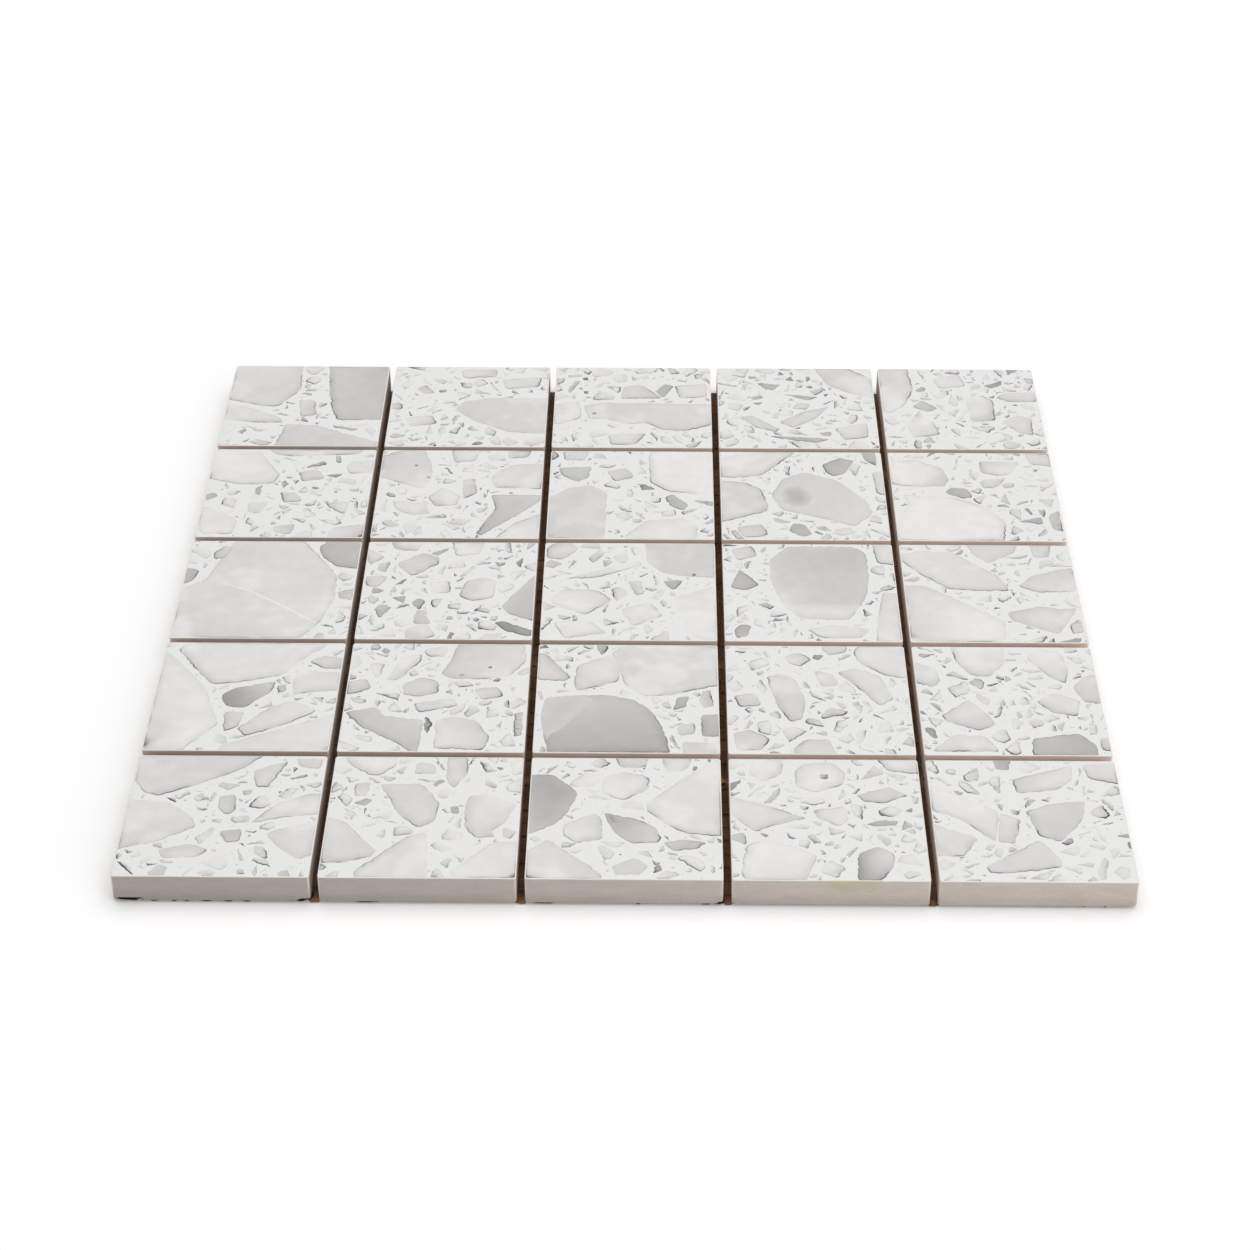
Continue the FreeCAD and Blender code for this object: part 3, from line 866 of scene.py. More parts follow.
    def foot(self, tile: bpy.types.Object, middle: Vector) -> None:
        """Closes the underside and presses the nine keying cells into it.

        Args:
            tile: The tile, still open below.
            middle: The middle of the tile's top.
        """
        edit(tile)
        mesh = bmesh.from_edit_mesh(tile.data)
        rim = self.open_loop(mesh)
        span = (TILE_SIDE - 2 * self.relief_margin + self.relief_rib) / 3
        cell = (span - self.relief_rib) / 2
        points = [((v.co.x - middle.x) / MM, (v.co.y - middle.y) / MM) for v in rim]
        faces = [list(range(len(points)))]
        for across in (-span, 0.0, span):
            for along in (-span, 0.0, span):
                faces.append(list(range(len(points), len(points) + 4)))
                points += [
                    (across + x * cell, along + y * cell) for x, y in ((-1, -1), (1, -1), (1, 1), (-1, 1))
                ]
        made = delaunay_2d_cdt([Vector(p) for p in points], [], faces, 1, 1e-4, True)
        low = middle.z + (TILE_FOOT - TILE_TOP) * MM
        verts = []
        for place, sources in zip(made[0], made[3]):
            known = [s for s in sources if s < len(rim)]
            if known:
                verts.append(rim[known[0]])
            else:
                verts.append(mesh.verts.new((middle.x + place.x * MM, middle.y + place.y * MM, low)))
        for face in mesh.faces:
            face.select_set(False)
        for triangle, owners in zip(made[2], made[5]):
            if owners:
                new = mesh.faces.new([verts[i] for i in reversed(triangle)])
                new.select_set(max(owners) > 0)
        bmesh.update_edit_mesh(tile.data)
        bpy.ops.mesh.select_mode(type="FACE")
        bpy.ops.mesh.extrude_region_move(TRANSFORM_OT_translate={"value": (0, 0, self.relief_depth * MM)})
        bpy.ops.object.mode_set(mode="OBJECT")

    @staticmethod
    def open_loop(mesh: bmesh.types.BMesh) -> list[bmesh.types.BMVert]:
        """Follows the open edge of a shape.

        Args:
            mesh: The shape in edit mode.

        Returns:
            The vertices of its open edge, counter-clockwise from above.
        """
        edges = [e for e in mesh.edges if e.is_boundary]
        start = edges[0].verts[0]
        loop, here, last = [start], start, None
        while True:
            onward = next(e for e in here.link_edges if e.is_boundary and e is not last)
            here, last = onward.other_vert(here), onward
            if here is start:
                break
            loop.append(here)
        turned = sum(a.co.x * b.co.y - b.co.x * a.co.y for a, b in zip(loop, loop[1:] + loop[:1]))
        return loop if turned > 0 else loop[::-1]

    def cut_away(self, tile: bpy.types.Object, middle: Vector, cut: EdgeCut) -> None:
        """Cuts one recess or broken corner out of the tile's lower edge.

        Args:
            tile: The tile to cut.
            middle: The middle of the tile's top.
            cut: What is cut away.
        """
        foot = TILE_FOOT - TILE_TOP
        size = Vector((cut.end - cut.start, cut.depth + 1, cut.height + 1))
        place = Vector(((cut.start + cut.end) / 2, (cut.depth - 1 - TILE_SIDE) / 2, foot + (cut.height - 1) / 2))
        bpy.ops.object.select_all(action="DESELECT")
        bpy.ops.mesh.primitive_cube_add(size=1, location=middle + place * MM)
        cutter = bpy.context.object
        cutter.scale = size * MM
        bpy.ops.object.transform_apply(location=False, rotation=False, scale=True)
        for vertex in cutter.data.vertices:
            if vertex.co.z > 0:
                towards = 1 if vertex.co.x * cut.ramp < 0 else 0
                vertex.co.x += towards * cut.ramp * MM
        modifier = tile.modifiers.new("edge_cut", "BOOLEAN")
        modifier.operation, modifier.object, modifier.solver = "DIFFERENCE", cutter, "EXACT"
        bpy.context.view_layer.objects.active = tile
        bpy.ops.object.modifier_apply(modifier=modifier.name)
        bpy.data.objects.remove(cutter)

    def in_cut(self, place: Vector, middle: Vector) -> bool:
        """Says whether a face lies inside a recess, where adhesive sticks to it and its colour is darkened into
        painted shade.

        Args:
            place: The middle of the face.
            middle: The middle of the tile's top.

        Returns:
            True behind the wall's surface and inside one of the flat recesses.
        """
        away = (place - middle) / MM
        if away.y < 0.05 - TILE_SIDE / 2 or away.y > 6.2 - TILE_SIDE / 2:
            return False
        ceiling = TILE_FOOT - TILE_TOP
        return any(
            cut.depth < 10 and cut.start - 0.1 < away.x < cut.end + 0.1 and ceiling + 0.05 < away.z < ceiling + cut.height + 0.1
            for cut in EDGE_CUTS.get((self.row, self.column), ())
        ) and abs(away.x) < TILE_SIDE / 2 - 0.05

    def dress(self, tile: bpy.types.Object, middle: Vector) -> None:
        """Gives the face, the glazed edge and the body their materials, and the recesses the near-black adhesive with
        painted shade.

        Args:
            tile: The finished shape.
            middle: The middle of the tile's top.
        """
        for finish in (TERRAZZO, GLAZED_EDGE, BISCUIT, SHADED_ADHESIVE):
            tile.data.materials.append(finish.material())
        glaze = middle.z - (self.glaze + 0.02) * MM
        for polygon in tile.data.polygons:
            if polygon.center.z > middle.z - 1e-6 and polygon.normal.z > 0.9:
                polygon.material_index = 0
            elif polygon.center.z > glaze:
                polygon.material_index = 1
            else:
                polygon.material_index = 2
            # Faces inside a recess get the near-black adhesive: glue colour darkened into painted shade.
            if self.in_cut(polygon.center, middle):
                polygon.material_index = 3
        bpy.ops.object.select_all(action="DESELECT")
        tile.select_set(True)
        bpy.context.view_layer.objects.active = tile
        bpy.ops.object.shade_smooth_by_angle(angle=math.radians(35))
        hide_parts(self.node)
        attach(tile, "root")


def open_edges(piece: bpy.types.Object) -> int:
    """Counts the edges that don't join exactly two faces."""
    mesh = bmesh.new()
    mesh.from_mesh(piece.data)
    count = sum(not e.is_manifold for e in mesh.edges)
    mesh.free()
    return count


def edit(piece: bpy.types.Object) -> None:
    """Opens one object, and only that one, in edit mode."""
    bpy.ops.object.select_all(action="DESELECT")
    piece.select_set(True)
    bpy.context.view_layer.objects.active = piece
    bpy.ops.object.mode_set(mode="EDIT")


Source = bpy.types.NodeSocket
Rgba = tuple[float, float, float, float]
Colour = Source | Rgba


@dataclass
class Wiring:
    """A node tree being wired, with short names for the nodes that the finishes use."""

    tree: bpy.types.NodeTree

    def add(self, kind: str, values: dict | None = None, **settings) -> bpy.types.Node:
        """Adds a node, sets its properties and sets or links its inputs.

        Args:
            kind: The type name of the node.
            values: A value or a source socket for each input, by its name or number.
            **settings: The node's own properties.

        Returns:
            The node.
        """
        node = self.tree.nodes.new(kind)
        for name, value in settings.items():
            setattr(node, name, value)
        for key, value in (values or {}).items():
            if isinstance(value, bpy.types.NodeSocket):
                self.tree.links.new(value, node.inputs[key])
            else:
                node.inputs[key].default_value = value
        return node

    def noise(self, where: Source, scale: float, detail: float = 3.0, rough: float = 0.55) -> Source:
        """Adds a noise pattern and returns its value."""
        values = {"Vector": where, "Scale": scale, "Detail": detail, "Roughness": rough}
        return self.add("ShaderNodeTexNoise", values).outputs["Fac"]

    def fit(self, value: Source, low: float, high: float, start: float = 0.0, end: float = 1.0) -> Source:
        """Adds a smooth step of a value from one range to another and returns the result."""
        node = self.add("ShaderNodeMapRange", interpolation_type="SMOOTHSTEP")
        self.tree.links.new(value, node.inputs[0])
        for number, bound in enumerate((low, high, start, end), 1):
            node.inputs[number].default_value = bound
        return node.outputs[0]

    def math(self, operation: str, first: Source | float, second: Source | float = 0.0) -> Source:
        """Adds a sum of two values and returns the result."""
        node = self.add("ShaderNodeMath", {0: first, 1: second}, operation=operation)
        return node.outputs[0]

    def mix(self, share: Source | float, first: Colour, second: Colour, blend: str = "MIX") -> Source:
        """Adds a mix of two colours and returns the result."""
        values = {0: share, 6: first, 7: second}
        node = self.add("ShaderNodeMix", values, data_type="RGBA", blend_type=blend)
        return node.outputs[2]

    def bump(self, height: Source, strength: float, distance: float) -> Source:
        """Adds a bump of the given height pattern and returns its normal."""
        values = {"Height": height, "Strength": strength, "Distance": distance * MM}
        return self.add("ShaderNodeBump", values).outputs[0]


def mottle_group() -> bpy.types.NodeTree:
    """Builds, once, the clouding that all the finishes share.

    Returns:
        The node group. It takes a position, a scale and a strength, and gives a factor about 1.
    """
    name = "mottle"
    if name in bpy.data.node_groups:
        return bpy.data.node_groups[name]
    tree = bpy.data.node_groups.new(name, "ShaderNodeTree")
    tree.interface.new_socket("Position", in_out="INPUT", socket_type="NodeSocketVector")
    tree.interface.new_socket("Scale", in_out="INPUT", socket_type="NodeSocketFloat")
    tree.interface.new_socket("Strength", in_out="INPUT", socket_type="NodeSocketFloat")
    tree.interface.new_socket("Factor", in_out="OUTPUT", socket_type="NodeSocketFloat")
    wires = Wiring(tree)
    given = wires.add("NodeGroupInput").outputs
    wide = wires.add("ShaderNodeTexNoise", {"Vector": given[0], "Scale": given[1], "Detail": 2.0})
    finer = wires.math("MULTIPLY", given[1], 3.7)
    fine = wires.add("ShaderNodeTexNoise", {"Vector": given[0], "Scale": finer, "Detail": 4.0})
    both = wires.math("ADD", wide.outputs["Fac"], fine.outputs["Fac"])
    centred = wires.math("SUBTRACT", both, 1.0)
    scaled = wires.math("MULTIPLY", centred, given[2])
    wires.add("NodeGroupOutput", {0: wires.math("ADD", scaled, 1.0)})
    return tree


@dataclass(frozen=True)
class Finish:
    """What every finish has: a name, a roughness and a way to wire its nodes."""

    name: str
    roughness: float

    def material(self) -> bpy.types.Material:
        """The finish's material, made the first time that it is asked for."""
        if self.name in bpy.data.materials:
            return bpy.data.materials[self.name]
        material = bpy.data.materials.new(self.name)
        material.use_nodes = True
        wires = Wiring(material.node_tree)
        shader = material.node_tree.nodes["Principled BSDF"]
        shader.inputs["Roughness"].default_value = self.roughness
        where = wires.add("ShaderNodeTexCoord").outputs["Object"]
        self.wire(wires, shader, where)
        return material

    def wire(self, wires: Wiring, shader: bpy.types.Node, where: Source) -> None:
        """Wires the finish's own pattern; each finish has its own."""
        raise NotImplementedError

    def stained(self, wires: Wiring, where: Source, colour: Source, tint: Rgba) -> Source:
        """Adds the yellow stain on the front edge of the fourth column.

        Args:
            wires: The material being wired.
            where: The position on the object.
            colour: The colour without the stain.
            tint: The colour that the stain multiplies it by.

        Returns:
            The colour with the stain.
        """
        away = wires.add("ShaderNodeVectorMath", {0: where, 1: STAIN_AT}, operation="SUBTRACT")
        scaled = wires.add("ShaderNodeVectorMath", {0: away.outputs[0], 1: STAIN_REACH}, operation="DIVIDE")
        far = wires.add("ShaderNodeVectorMath", {0: scaled.outputs[0]}, operation="LENGTH").outputs["Value"]
        blurred = wires.math("ADD", far, wires.fit(wires.noise(where, 260, 3), 0.3, 0.7, -0.3, 0.3))
        return wires.mix(wires.fit(blurred, 0.4, 1.0, 1.0, 0.0), colour, self.tinted(wires, colour, tint))

    @staticmethod
    def tinted(wires: Wiring, colour: Source, tint: Rgba) -> Source:
        """The colour multiplied by a tint."""
        return wires.mix(1.0, colour, tint, "MULTIPLY")

    def mottled(self, wires: Wiring, where: Source, scale: float, strength: float) -> Source:
        """Places the shared clouding and returns its factor."""
        node = wires.add("ShaderNodeGroup", node_tree=mottle_group())
        wires.tree.links.new(where, node.inputs[0])
        node.inputs[1].default_value = scale
        node.inputs[2].default_value = strength
        return node.outputs[0]


@dataclass(frozen=True)
class TerrazzoFinish(Finish):
    """The satin face: stone fragments with darker rims in a nearly white bed with fine flecks."""

    rim_line: float = 0.2
    rim_dark: float = 0.66
    rim_fade: float = 0.8
    fade_dark: float = 0.2
    cloud: float = 0.16
    ghost: float = 0.62
    wash: float = 0.95
    fleck_scale: float = 1050.0

    def wire(self, wires: Wiring, shader: bpy.types.Node, where: Source) -> None:
        """Wires the colour from the fragment attribute, and a faint polish relief."""
        stored = wires.add("ShaderNodeAttribute", attribute_name="fragment")
        parts = wires.add("ShaderNodeSeparateColor", {0: stored.outputs["Color"]}).outputs
        warmth = stored.outputs["Alpha"]
        stone = wires.add("ShaderNodeAttribute", attribute_name="stone").outputs["Fac"]
        level, deep, strength = parts[0], parts[1], parts[2]
        uneven = wires.fit(wires.noise(where, 130, 4), 0.38, 0.62, 0.0, 1.5)
        line = wires.math("MULTIPLY", wires.fit(deep, 0.0, self.rim_line, 1.0, 0.0), self.rim_dark)
        fade = wires.math("MULTIPLY", wires.fit(deep, 0.0, self.rim_fade, 1.0, 0.0), self.fade_dark)
        rim = wires.math("MULTIPLY", wires.math("MULTIPLY", line, strength), uneven)
        rim = wires.math("ADD", rim, wires.math("MULTIPLY", fade, strength))
        cloud = self.mottled(wires, where, 62, self.cloud)
        clouded = wires.mix(stone, (1, 1, 1, 1), cloud)
        grey = wires.math("MULTIPLY", level, wires.math("SUBTRACT", 1.0, rim))
        ghost = wires.fit(wires.noise(where, 58, 2), 0.52, 0.66, 0.0, self.ghost)
        ghost = wires.math("MULTIPLY", ghost, wires.fit(level, linear(205), linear(224)))
        grey = wires.mix(ghost, grey, (linear(BED_LEVEL),) * 3 + (1,))
        grey = wires.mix(1.0, grey, (self.wash,) * 3 + (1,), "MULTIPLY")
        plain = wires.mix(stone, (1, 0.995, 0.988, 1), (1, 0.985, 0.972, 1))
        tan = wires.mix(warmth, plain, (1.0, 0.952, 0.922, 1))
        colour = wires.mix(1.0, grey, clouded, "MULTIPLY")
        colour = wires.mix(1.0, colour, tan, "MULTIPLY")
        colour = wires.mix(1.0, colour, self.flecks(wires, where, stone), "MULTIPLY")
        wires.tree.links.new(colour, shader.inputs["Base Color"])
        relief = wires.noise(where, 900, 2)
        wires.tree.links.new(wires.bump(relief, 0.12, 0.05), shader.inputs["Normal"])
        sheen = wires.fit(wires.noise(where, 240, 3), 0.3, 0.7, self.roughness - 0.05, self.roughness + 0.07)
        wires.tree.links.new(sheen, shader.inputs["Roughness"])

    def flecks(self, wires: Wiring, where: Source, stone: Source) -> Source:
        """Adds the specks of ground stone, fewer on the fragments.

        Args:
            wires: The material being wired.
            where: The position on the object.
            stone: 1 on a fragment and 0 in the bed.

        Returns:
            A colour that darkens the bed where a speck lies.
        """
        bent = wires.add("ShaderNodeTexNoise", {"Vector": where, "Scale": 700.0, "Detail": 1.0})
        moved = wires.add("ShaderNodeVectorMath", {0: bent.outputs["Color"], 3: 0.0007}, operation="SCALE")
        place = wires.add("ShaderNodeVectorMath", {0: where, 1: moved.outputs[0]}, operation="ADD")
        cells = wires.add(
            "ShaderNodeTexVoronoi",
            {"Vector": place.outputs[0], "Scale": self.fleck_scale, "Randomness": 1.0},
        )
        tone = wires.add("ShaderNodeSeparateColor", {0: cells.outputs["Color"]}).outputs
        chosen = wires.fit(tone[0], 0.88, 0.93)
        size = wires.math("MULTIPLY", tone[1], 0.34)
        near = wires.math("LESS_THAN", cells.outputs["Distance"], size)
        mask = wires.math("MULTIPLY", chosen, near)
        mask = wires.math("MULTIPLY", mask, wires.fit(stone, 0.0, 1.0, 1.0, 0.12))
        dark = wires.mix(tone[2], (0.5, 0.48, 0.45, 1), (0.86, 0.85, 0.84, 1))
        return wires.mix(mask, (1, 1, 1, 1), dark)


@dataclass(frozen=True)
class EdgeFinish(Finish):
    """The cream line of the face layer along a tile's arris."""

    def wire(self, wires: Wiring, shader: bpy.types.Node, where: Source) -> None:
        """Wires a cream colour with faint clouding and small chips."""
        cloud = self.mottled(wires, where, 300, 0.08)
        colour = wires.mix(1.0, screen(232, 229, 224), cloud, "MULTIPLY")
        worn = wires.fit(wires.noise(where, 800, 3), 0.66, 0.72, 0.0, 0.5)
        colour = wires.mix(worn, colour, screen(196, 186, 174))
        colour = self.stained(wires, where, colour, (0.9, 0.9, 0.7, 1))
        wires.tree.links.new(colour, shader.inputs["Base Color"])


@dataclass(frozen=True)
class BiscuitFinish(Finish):
    """The matt tan body of the tile, with fine grain and a yellow stain on one front edge."""

    outside: float = 148.5
    pitch: float = 60.0

    def wire(self, wires: Wiring, shader: bpy.types.Node, where: Source) -> None:
        """Wires the tan colour with painted light paler to the right, its clouds, painted shade toward the foot,
        painted light on the upper joint walls and the upright corners, the stain and the grain.
        """
        place = wires.add("ShaderNodeSeparateXYZ", {0: where}).outputs
        # Painted light: the body's tan runs from darker at the sheet's left to paler at its right, as if lit from the
        # right.
        across = wires.fit(place[0], -0.19, 0.15)
        tan = wires.mix(across, screen(184.5, 173.5, 166), screen(214.5, 203.5, 194.5))
        long = wires.add("ShaderNodeVectorMath", {0: where, 1: (1.0, 1.0, 5.0)}, operation="MULTIPLY")
        cloud = self.mottled(wires, long.outputs[0], 75, 0.2)
        colour = wires.mix(1.0, tan, cloud, "MULTIPLY")
        fine = wires.fit(wires.noise(where, 2600, 2), 0.35, 0.65, 0.95, 1.03)
        colour = wires.mix(1.0, colour, fine, "MULTIPLY")
        # Painted shade: the body darkens toward the foot, where the floor meets it.
        low = wires.fit(place[2], TILE_FOOT * MM, 0.0062, 0.86, 1.0)
        colour = wires.mix(1.0, colour, low, "MULTIPLY")
        # Painted light: the upper 3 mm of the walls inside the joints are brightened and warmed, standing in for light
        # that falls into the joints.
        far = [wires.math("ABSOLUTE", place[axis]) for axis in (0, 1)]
        inside = wires.math("LESS_THAN", wires.math("MAXIMUM", *far), self.outside * MM)
        upper = wires.fit(place[2], (TILE_TOP - 3.2) * MM, (TILE_TOP - 1.2) * MM)
        joint_wall_painted_light = self.tinted(wires, colour, (1.22, 1.1, 1.07, 1))
        colour = wires.mix(wires.math("MULTIPLY", inside, upper), colour, joint_wall_painted_light)
        # Painted highlight: the eased upright corners at the joint crossings are lifted toward a pale cream above the
        # foot.
        upper = wires.fit(place[2], 0.001, 0.0075, 0.15, 0.85)
        colour = wires.mix(wires.math("MULTIPLY", self.corner_highlight_mask(wires, place), upper), colour, screen(250, 236, 222))
        colour = self.stained(wires, where, colour, (0.97, 0.96, 0.8, 1))
        wires.tree.links.new(colour, shader.inputs["Base Color"])
        height = wires.noise(where, 1700, 3)
        wires.tree.links.new(wires.bump(height, 0.25, 0.12), shader.inputs["Normal"])

    def corner_highlight_mask(self, wires: Wiring, place: bpy.types.NodeOutputs) -> Source:
        """Finds the eased upright corners of the tiles, where two joints cross, for their painted highlight.

        Args:
            wires: The material being wired.
            place: The position on the object, as separate values.

        Returns:
            A factor that is 1 on such a corner.
        """
        away = []
        for axis in (0, 1):
            part = wires.math("FRACT", wires.math("DIVIDE", place[axis], self.pitch * MM))
            away.append(wires.math("ABSOLUTE", wires.math("SUBTRACT", part, 0.5)))
        reach = wires.math("MAXIMUM", *away)
        return wires.fit(reach, 1.5 / self.pitch, 1.85 / self.pitch, 1.0, 0.0)


@dataclass(frozen=True)
class YarnFinish(Finish):
    """Glass yarn soaked in brown adhesive: fine twisted filaments with a slight gloss."""

    def wire(self, wires: Wiring, shader: bpy.types.Node, where: Source) -> None:
        """Wires a brown colour with paler filaments."""
        shader.inputs["Specular IOR Level"].default_value = 0.12
        strands = wires.noise(where, 1400, 3)
        colour = wires.mix(wires.fit(strands, 0.35, 0.7), screen(90, 65, 47), screen(140, 107, 79))
        wires.tree.links.new(colour, shader.inputs["Base Color"])
        wires.tree.links.new(wires.bump(strands, 0.4, 0.08), shader.inputs["Normal"])


@dataclass(frozen=True)
class AdhesiveFinish(Finish):
    """The dark brown mounting adhesive, with the net's yarns showing through as low ridges."""

    pitch: float = 6.25
    skew: float = 1.22
    phase: tuple[float, float] = (5.35, 0.44)
    deep: tuple[float, float, float] = (92, 65, 46)
    light: tuple[float, float, float] = (134, 98, 68)

    def wire(self, wires: Wiring, shader: bpy.types.Node, where: Source) -> None:
        """Wires the brown ground, its clouds and the ridges of the net."""
        shader.inputs["Specular IOR Level"].default_value = 0.2
        square = wires.add(
            "ShaderNodeVectorRotate", {"Vector": where, "Angle": math.radians(self.skew)}, rotation_type="Z_AXIS"
        )
        place = wires.add("ShaderNodeSeparateXYZ", {0: square.outputs[0]}).outputs
        ridges = []
        for axis in (0, 1):
            moved = wires.math("SUBTRACT", place[axis], (self.phase[axis] + self.pitch / 2) * MM)
            saw = wires.math("FRACT", wires.math("DIVIDE", moved, self.pitch * MM))
            ridges.append(wires.math("ABSOLUTE", wires.math("SUBTRACT", saw, 0.5)))
        lines = wires.math("MINIMUM", ridges[0], ridges[1])
        net = wires.fit(lines, 0.02, 0.09, 1.0, 0.0)
        clouds = wires.fit(wires.noise(where, 90, 4), 0.3, 0.7)
        ground = wires.mix(clouds, screen(*self.deep), screen(*self.light))
        colour = wires.mix(wires.math("MULTIPLY", net, 0.45), ground, screen(154, 116, 84))
        wires.tree.links.new(colour, shader.inputs["Base Color"])
        height = wires.math("ADD", net, wires.math("MULTIPLY", wires.noise(where, 500, 3), 0.4))
        wires.tree.links.new(wires.bump(height, 0.5, 0.15), shader.inputs["Normal"])


@dataclass(frozen=True)
class FloorFinish(Finish):
    """A plain pale floor that the camera sees as white where no shadow falls."""

    lift: float = 0.11
    far_lift: float = 0.55
    clear: tuple[float, float] = (0.35, 1.4)
    seen_shade: float = 0.97
    lit_shade: float = 0.8

    def material(self) -> bpy.types.Material:
        """The floor's material: a pale diffuse surface, lifted to white for the camera."""
        material = bpy.data.materials.new(self.name)
        material.use_nodes = True
        tree = material.node_tree
        wires = Wiring(tree)
        tree.nodes.remove(tree.nodes["Principled BSDF"])
        path = wires.add("ShaderNodeLightPath").outputs
        seen = wires.math("MAXIMUM", path["Is Camera Ray"], path["Is Glossy Ray"])
        seen = wires.math("MAXIMUM", seen, path["Is Transmission Ray"])
        lit, pale = [(shade, shade, shade, 1) for shade in (self.lit_shade, self.seen_shade)]
        matt = wires.add("ShaderNodeBsdfDiffuse", {"Color": wires.mix(seen, lit, pale)})
        where = wires.add("ShaderNodeTexCoord").outputs["Object"]
        away = wires.add("ShaderNodeVectorMath", {0: where}, operation="LENGTH").outputs["Value"]
        lift = wires.fit(away, *self.clear, self.lift, self.far_lift)
        glow = wires.add("ShaderNodeEmission", {"Strength": wires.math("MULTIPLY", seen, lift)})
        both = wires.add("ShaderNodeAddShader", {0: matt.outputs[0], 1: glow.outputs[0]})
        tree.links.new(both.outputs[0], tree.nodes["Material Output"].inputs["Surface"])
        return material


class Glue(Enum):
    """The three looks of the adhesive: the film's own, a near-black copy with painted shade for the recesses and the
    dashes under the front edge, and an amber copy with painted light for one cross joint.
    """

    BROWN = "brown"
    BLACK = "black"
    AMBER = "amber"


TERRAZZO = TerrazzoFinish("terrazzo_face", 0.4)
GLAZED_EDGE = EdgeFinish("glazed_edge", 0.45)
BISCUIT = BiscuitFinish("biscuit_body", 0.85)
YARN = YarnFinish("soaked_glass_yarn", 0.7)
ADHESIVE = AdhesiveFinish("brown_adhesive", 0.65)
# Painted shade: the brown adhesive darkened to near black for the recesses and under the front edge.
SHADED_ADHESIVE = AdhesiveFinish("adhesive_painted_shade", 0.8, deep=(16, 10, 7), light=(34, 22, 15))
# Painted light: a paler, orange, glossier copy of the adhesive for the lit spot in one cross joint.
LIT_ADHESIVE = AdhesiveFinish("adhesive_painted_light", 0.4, deep=(150, 92, 52), light=(184, 124, 80))
GLUES = {Glue.BROWN: ADHESIVE, Glue.BLACK: SHADED_ADHESIVE, Glue.AMBER: LIT_ADHESIVE}
FLOOR = FloorFinish("pale_floor", 1.0)


@dataclass(frozen=True)
class Lump:
    """A lump of squeezed-out adhesive: its middle and its half sizes in mm, and its look."""

    middle: tuple[float, float, float]
    reach: tuple[float, float, float]
    glue: Glue = Glue.BROWN


def shaded_dash_under_foot(across: float, half_length: float) -> Lump:
    """The lump that shows as a dark dash under a tile's front edge: a flat bit of adhesive in the near-black copy,
    painted shade under the foot.

    Args:
        across: Its place along the front edge.
        half_length: Half its length.

    Returns:
        A flat lump between the film and the tile's foot.
    """
    return Lump((across, -147.45, 0.55), (half_length, 1.15, 0.34), Glue.BLACK)


LUMPS: tuple[Lump, ...] = (
    # Painted shade: near-black lumps fill the recesses of the front tiles, and the dashes further down stand for the
    # shade under the front edge.
    Lump((-144.2, -146.2, 0.95), (4.3, 2.3, 0.95), Glue.BLACK),
    Lump((-93.9, -146.3, 0.85), (3.4, 2.1, 0.9), Glue.BLACK),
    Lump((27.4, -146.8, 0.8), (1.9, 1.8, 0.85), Glue.BLACK),
    # Painted light: the lump in this cross joint takes the amber copy of the adhesive, a painted pool of light.
    Lump((29.4, -91.2, 0.85), (1.2, 1.0, 0.6), Glue.AMBER),
    Lump((-90.0, -147.1, 0.4), (1.9, 1.6, 0.48)),
    Lump((-30.0, -147.0, 0.4), (1.8, 1.7, 0.46)),
    Lump((30.1, -147.1, 0.4), (1.9, 1.6, 0.5)),
    Lump((90.0, -147.0, 0.4), (1.8, 1.7, 0.46)),
    shaded_dash_under_foot(-136.8, 1.5),
    shaded_dash_under_foot(-131.0, 1.0),
    shaded_dash_under_foot(-127.5, 0.9),
    shaded_dash_under_foot(-121.4, 2.2),
    shaded_dash_under_foot(-115.4, 1.9),
    shaded_dash_under_foot(-109.8, 1.4),
    shaded_dash_under_foot(-75.1, 3.8),
    shaded_dash_under_foot(-23.2, 4.2),
    shaded_dash_under_foot(4.2, 0.7),
    shaded_dash_under_foot(24.0, 1.5),
)


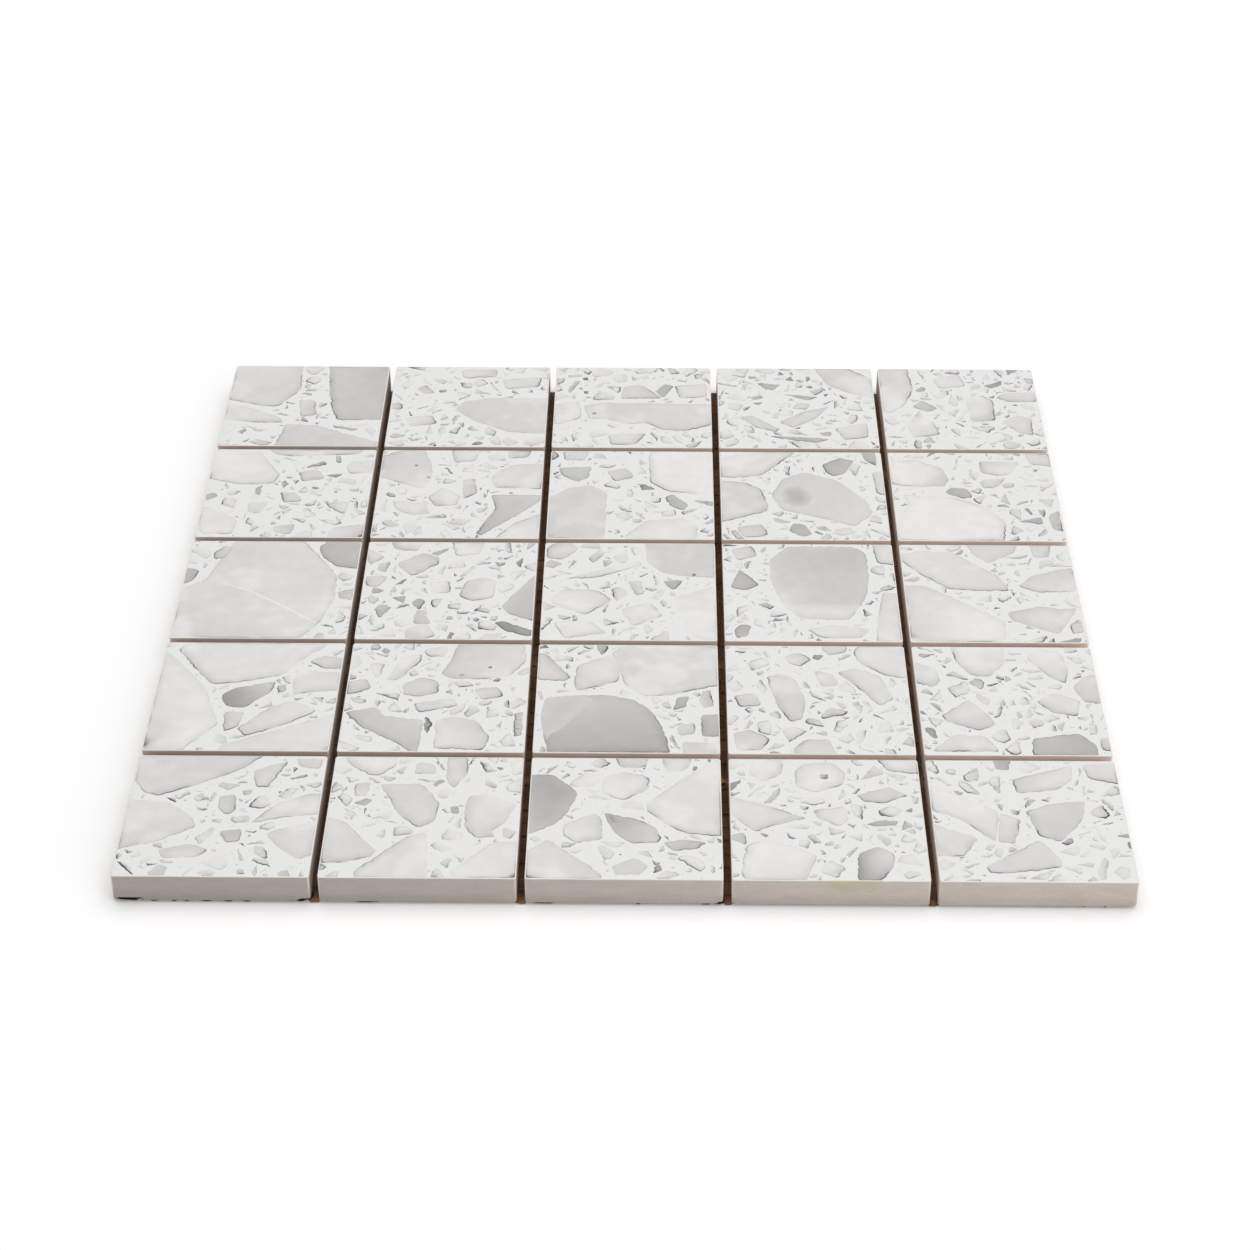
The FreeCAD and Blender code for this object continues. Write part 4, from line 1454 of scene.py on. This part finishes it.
@dataclass
class AdhesiveBed:
    """The film of adhesive below the net, with what it squeezed out under the front edge; the near-black lumps among
    these paint the shade in the recesses and under the foot.
    """

    node: str = "adhesive_film"
    half: float = 146.8
    thick: float = 0.3
    stray: float = 0.3
    step: float = 2.4

    def build(self) -> bpy.types.Object:
        """Builds the film and its lumps as one piece.

        Returns:
            The finished piece.
        """
        bed = self.film()
        lumps = [self.lump(lump) for lump in LUMPS]
        bpy.ops.object.select_all(action="DESELECT")
        for piece in (bed, *lumps):
            piece.select_set(True)
        bpy.context.view_layer.objects.active = bed
        bpy.ops.object.join()
        bpy.ops.object.shade_smooth_by_angle(angle=math.radians(50))
        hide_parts(self.node)
        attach(bed, "root")
        return bed

    def film(self) -> bpy.types.Object:
        """Makes the film, a flat sheet whose edge wanders a little."""
        count = int(2 * self.half / self.step)
        edge = []
        for turn in range(4):
            for part in range(count):
                along = -self.half + part * 2 * self.half / count
                out = self.half + self.stray * noise.noise(Vector((along / 9, turn * 7.3, 0)))
                angle = turn * math.pi / 2
                x, y = out * math.cos(angle) - along * math.sin(angle), out * math.sin(angle) + along * math.cos(angle)
                edge.append((x * MM, y * MM))
        total = len(edge)
        points = [(x, y, z) for z in (0.0, self.thick * MM) for x, y in edge]
        faces = [list(range(total, 2 * total)), list(range(total - 1, -1, -1))]
        faces += [[i, (i + 1) % total, total + (i + 1) % total, total + i] for i in range(total)]
        mesh = bpy.data.meshes.new("adhesive_bed")
        mesh.from_pydata(points, [], faces)
        mesh.materials.append(ADHESIVE.material())
        bed = bpy.data.objects.new("adhesive_bed", mesh)
        bpy.context.scene.collection.objects.link(bed)
        return bed

    @staticmethod
    def lump(lump: Lump) -> bpy.types.Object:
        """Makes one lump, an uneven flattened drop.

        Args:
            lump: Where it is and how large.

        Returns:
            The lump.
        """
        bpy.ops.object.select_all(action="DESELECT")
        bpy.ops.mesh.primitive_ico_sphere_add(subdivisions=3, radius=1)
        piece = bpy.context.object
        middle, reach = Vector(lump.middle), Vector(lump.reach)
        for vertex in piece.data.vertices:
            unit = vertex.co.copy()
            uneven = 1 + 0.35 * noise.noise(unit * 1.7 + middle)
            place = Vector(r * max(-1.0, min(1.0, c * uneven)) for r, c in zip(reach, unit))
            place += middle
            place.z = max(place.z, 0.0)
            vertex.co = place * MM
        piece.data.materials.append(GLUES[lump.glue].material())
        return piece


@dataclass
class Scrim:
    """The laid net in its three layers."""

    layers: tuple[str, ...] = ("scrim_lower_warp", "scrim_weft", "scrim_upper_warp")

    def dress(self, nodes: dict[str, bpy.types.Object]) -> None:
        """Gives the carried-over solids their finishes.

        Args:
            nodes: The solids of the frame by name.
        """
        for name in self.layers:
            self.paint(nodes[name], YARN.material())

    @staticmethod
    def paint(node: bpy.types.Object, material: bpy.types.Material) -> None:
        """Puts one material on all of a solid."""
        node.data.materials.clear()
        node.data.materials.append(material)


@dataclass(frozen=True)
class Studio:
    """The floor, the lamps and the camera at the photograph's place."""

    camera_at: tuple[float, float, float] = (0.0082, -0.7825, 0.5401)
    pitch: float = 34.813
    yaw: float = -0.706
    roll: float = 0.068
    lens: float = 82.05

    def build(self) -> None:
        """Sets up the floor, the light and the camera."""
        self.floor()
        self.light()
        self.place_camera()
        scene = bpy.context.scene
        scene.view_settings.view_transform = "Standard"

    def floor(self) -> None:
        """Lays a wide pale floor under the sheet."""
        bpy.ops.object.select_all(action="DESELECT")
        bpy.ops.mesh.primitive_plane_add(size=30, location=(0, 0, 0))
        floor = bpy.context.object
        floor.name = "studio_floor"
        floor.data.materials.append(FLOOR.material())

    def light(self) -> None:
        """Hangs a wide soft lamp above and gives the room an even pale light."""
        world = bpy.data.worlds.new("studio_room")
        bpy.context.scene.world = world
        world.use_nodes = True
        wires = Wiring(world.node_tree)
        path = wires.add("ShaderNodeLightPath").outputs
        back = world.node_tree.nodes["Background"]
        back.inputs["Color"].default_value = (1, 1, 1, 1)
        seen = wires.math("MAXIMUM", path["Is Camera Ray"], path["Is Glossy Ray"])
        seen = wires.math("MAXIMUM", seen, path["Is Transmission Ray"])
        seen = wires.fit(seen, 0.0, 1.0, 0.5, 1.0)
        world.node_tree.links.new(seen, back.inputs["Strength"])
        self.lamp("overhead_softbox", (0.1, 0.25, 1.5), 1.8, 13.5)
        self.lamp("front_right_softbox", (0.75, -0.95, 0.55), 0.8, 2.6)

    @staticmethod
    def lamp(name: str, place: tuple[float, float, float], size: float, power: float) -> None:
        """Adds one square soft lamp that faces the sheet."""
        data = bpy.data.lights.new(name, "AREA")
        data.shape, data.size, data.energy = "SQUARE", size, power
        lamp = bpy.data.objects.new(name, data)
        lamp.location = place
        lamp.rotation_euler = (-Vector(place)).to_track_quat("-Z", "Y").to_euler()
        bpy.context.scene.collection.objects.link(lamp)

    def place_camera(self) -> None:
        """Puts the camera where the photograph was taken from."""
        data = bpy.data.cameras.new("photo_camera")
        data.lens, data.sensor_width = self.lens, 36.0
        data.clip_start, data.clip_end = 0.01, 100
        camera = bpy.data.objects.new("photo_camera", data)
        camera.location = self.camera_at
        tilt = Euler((math.radians(90 - self.pitch), 0, -math.radians(self.yaw)), "XYZ")
        turn = tilt.to_matrix().to_4x4() @ Euler((0, 0, math.radians(-self.roll))).to_matrix().to_4x4()
        camera.rotation_euler = turn.to_euler()
        bpy.context.scene.collection.objects.link(camera)
        bpy.context.scene.camera = camera


def main() -> None:
    """Builds and dresses the sheet, logs its face and open-edge counts, and sets up the studio."""
    logging.basicConfig(level=logging.INFO, format="%(name)s: %(message)s")
    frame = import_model()
    for row in range(1, 6):
        for column in range(1, 6):
            tile = Tile(row, column).build()
            LOG.info("%s: %d faces, %d open edges", tile.name, len(tile.data.polygons), open_edges(tile))
    bed = AdhesiveBed().build()
    LOG.info("%s: %d open edges", bed.name, open_edges(bed))
    Scrim().dress(frame["nodes"])
    LOG.info("scrim dressed")
    Studio().build()


if __name__ == "__main__":
    main()
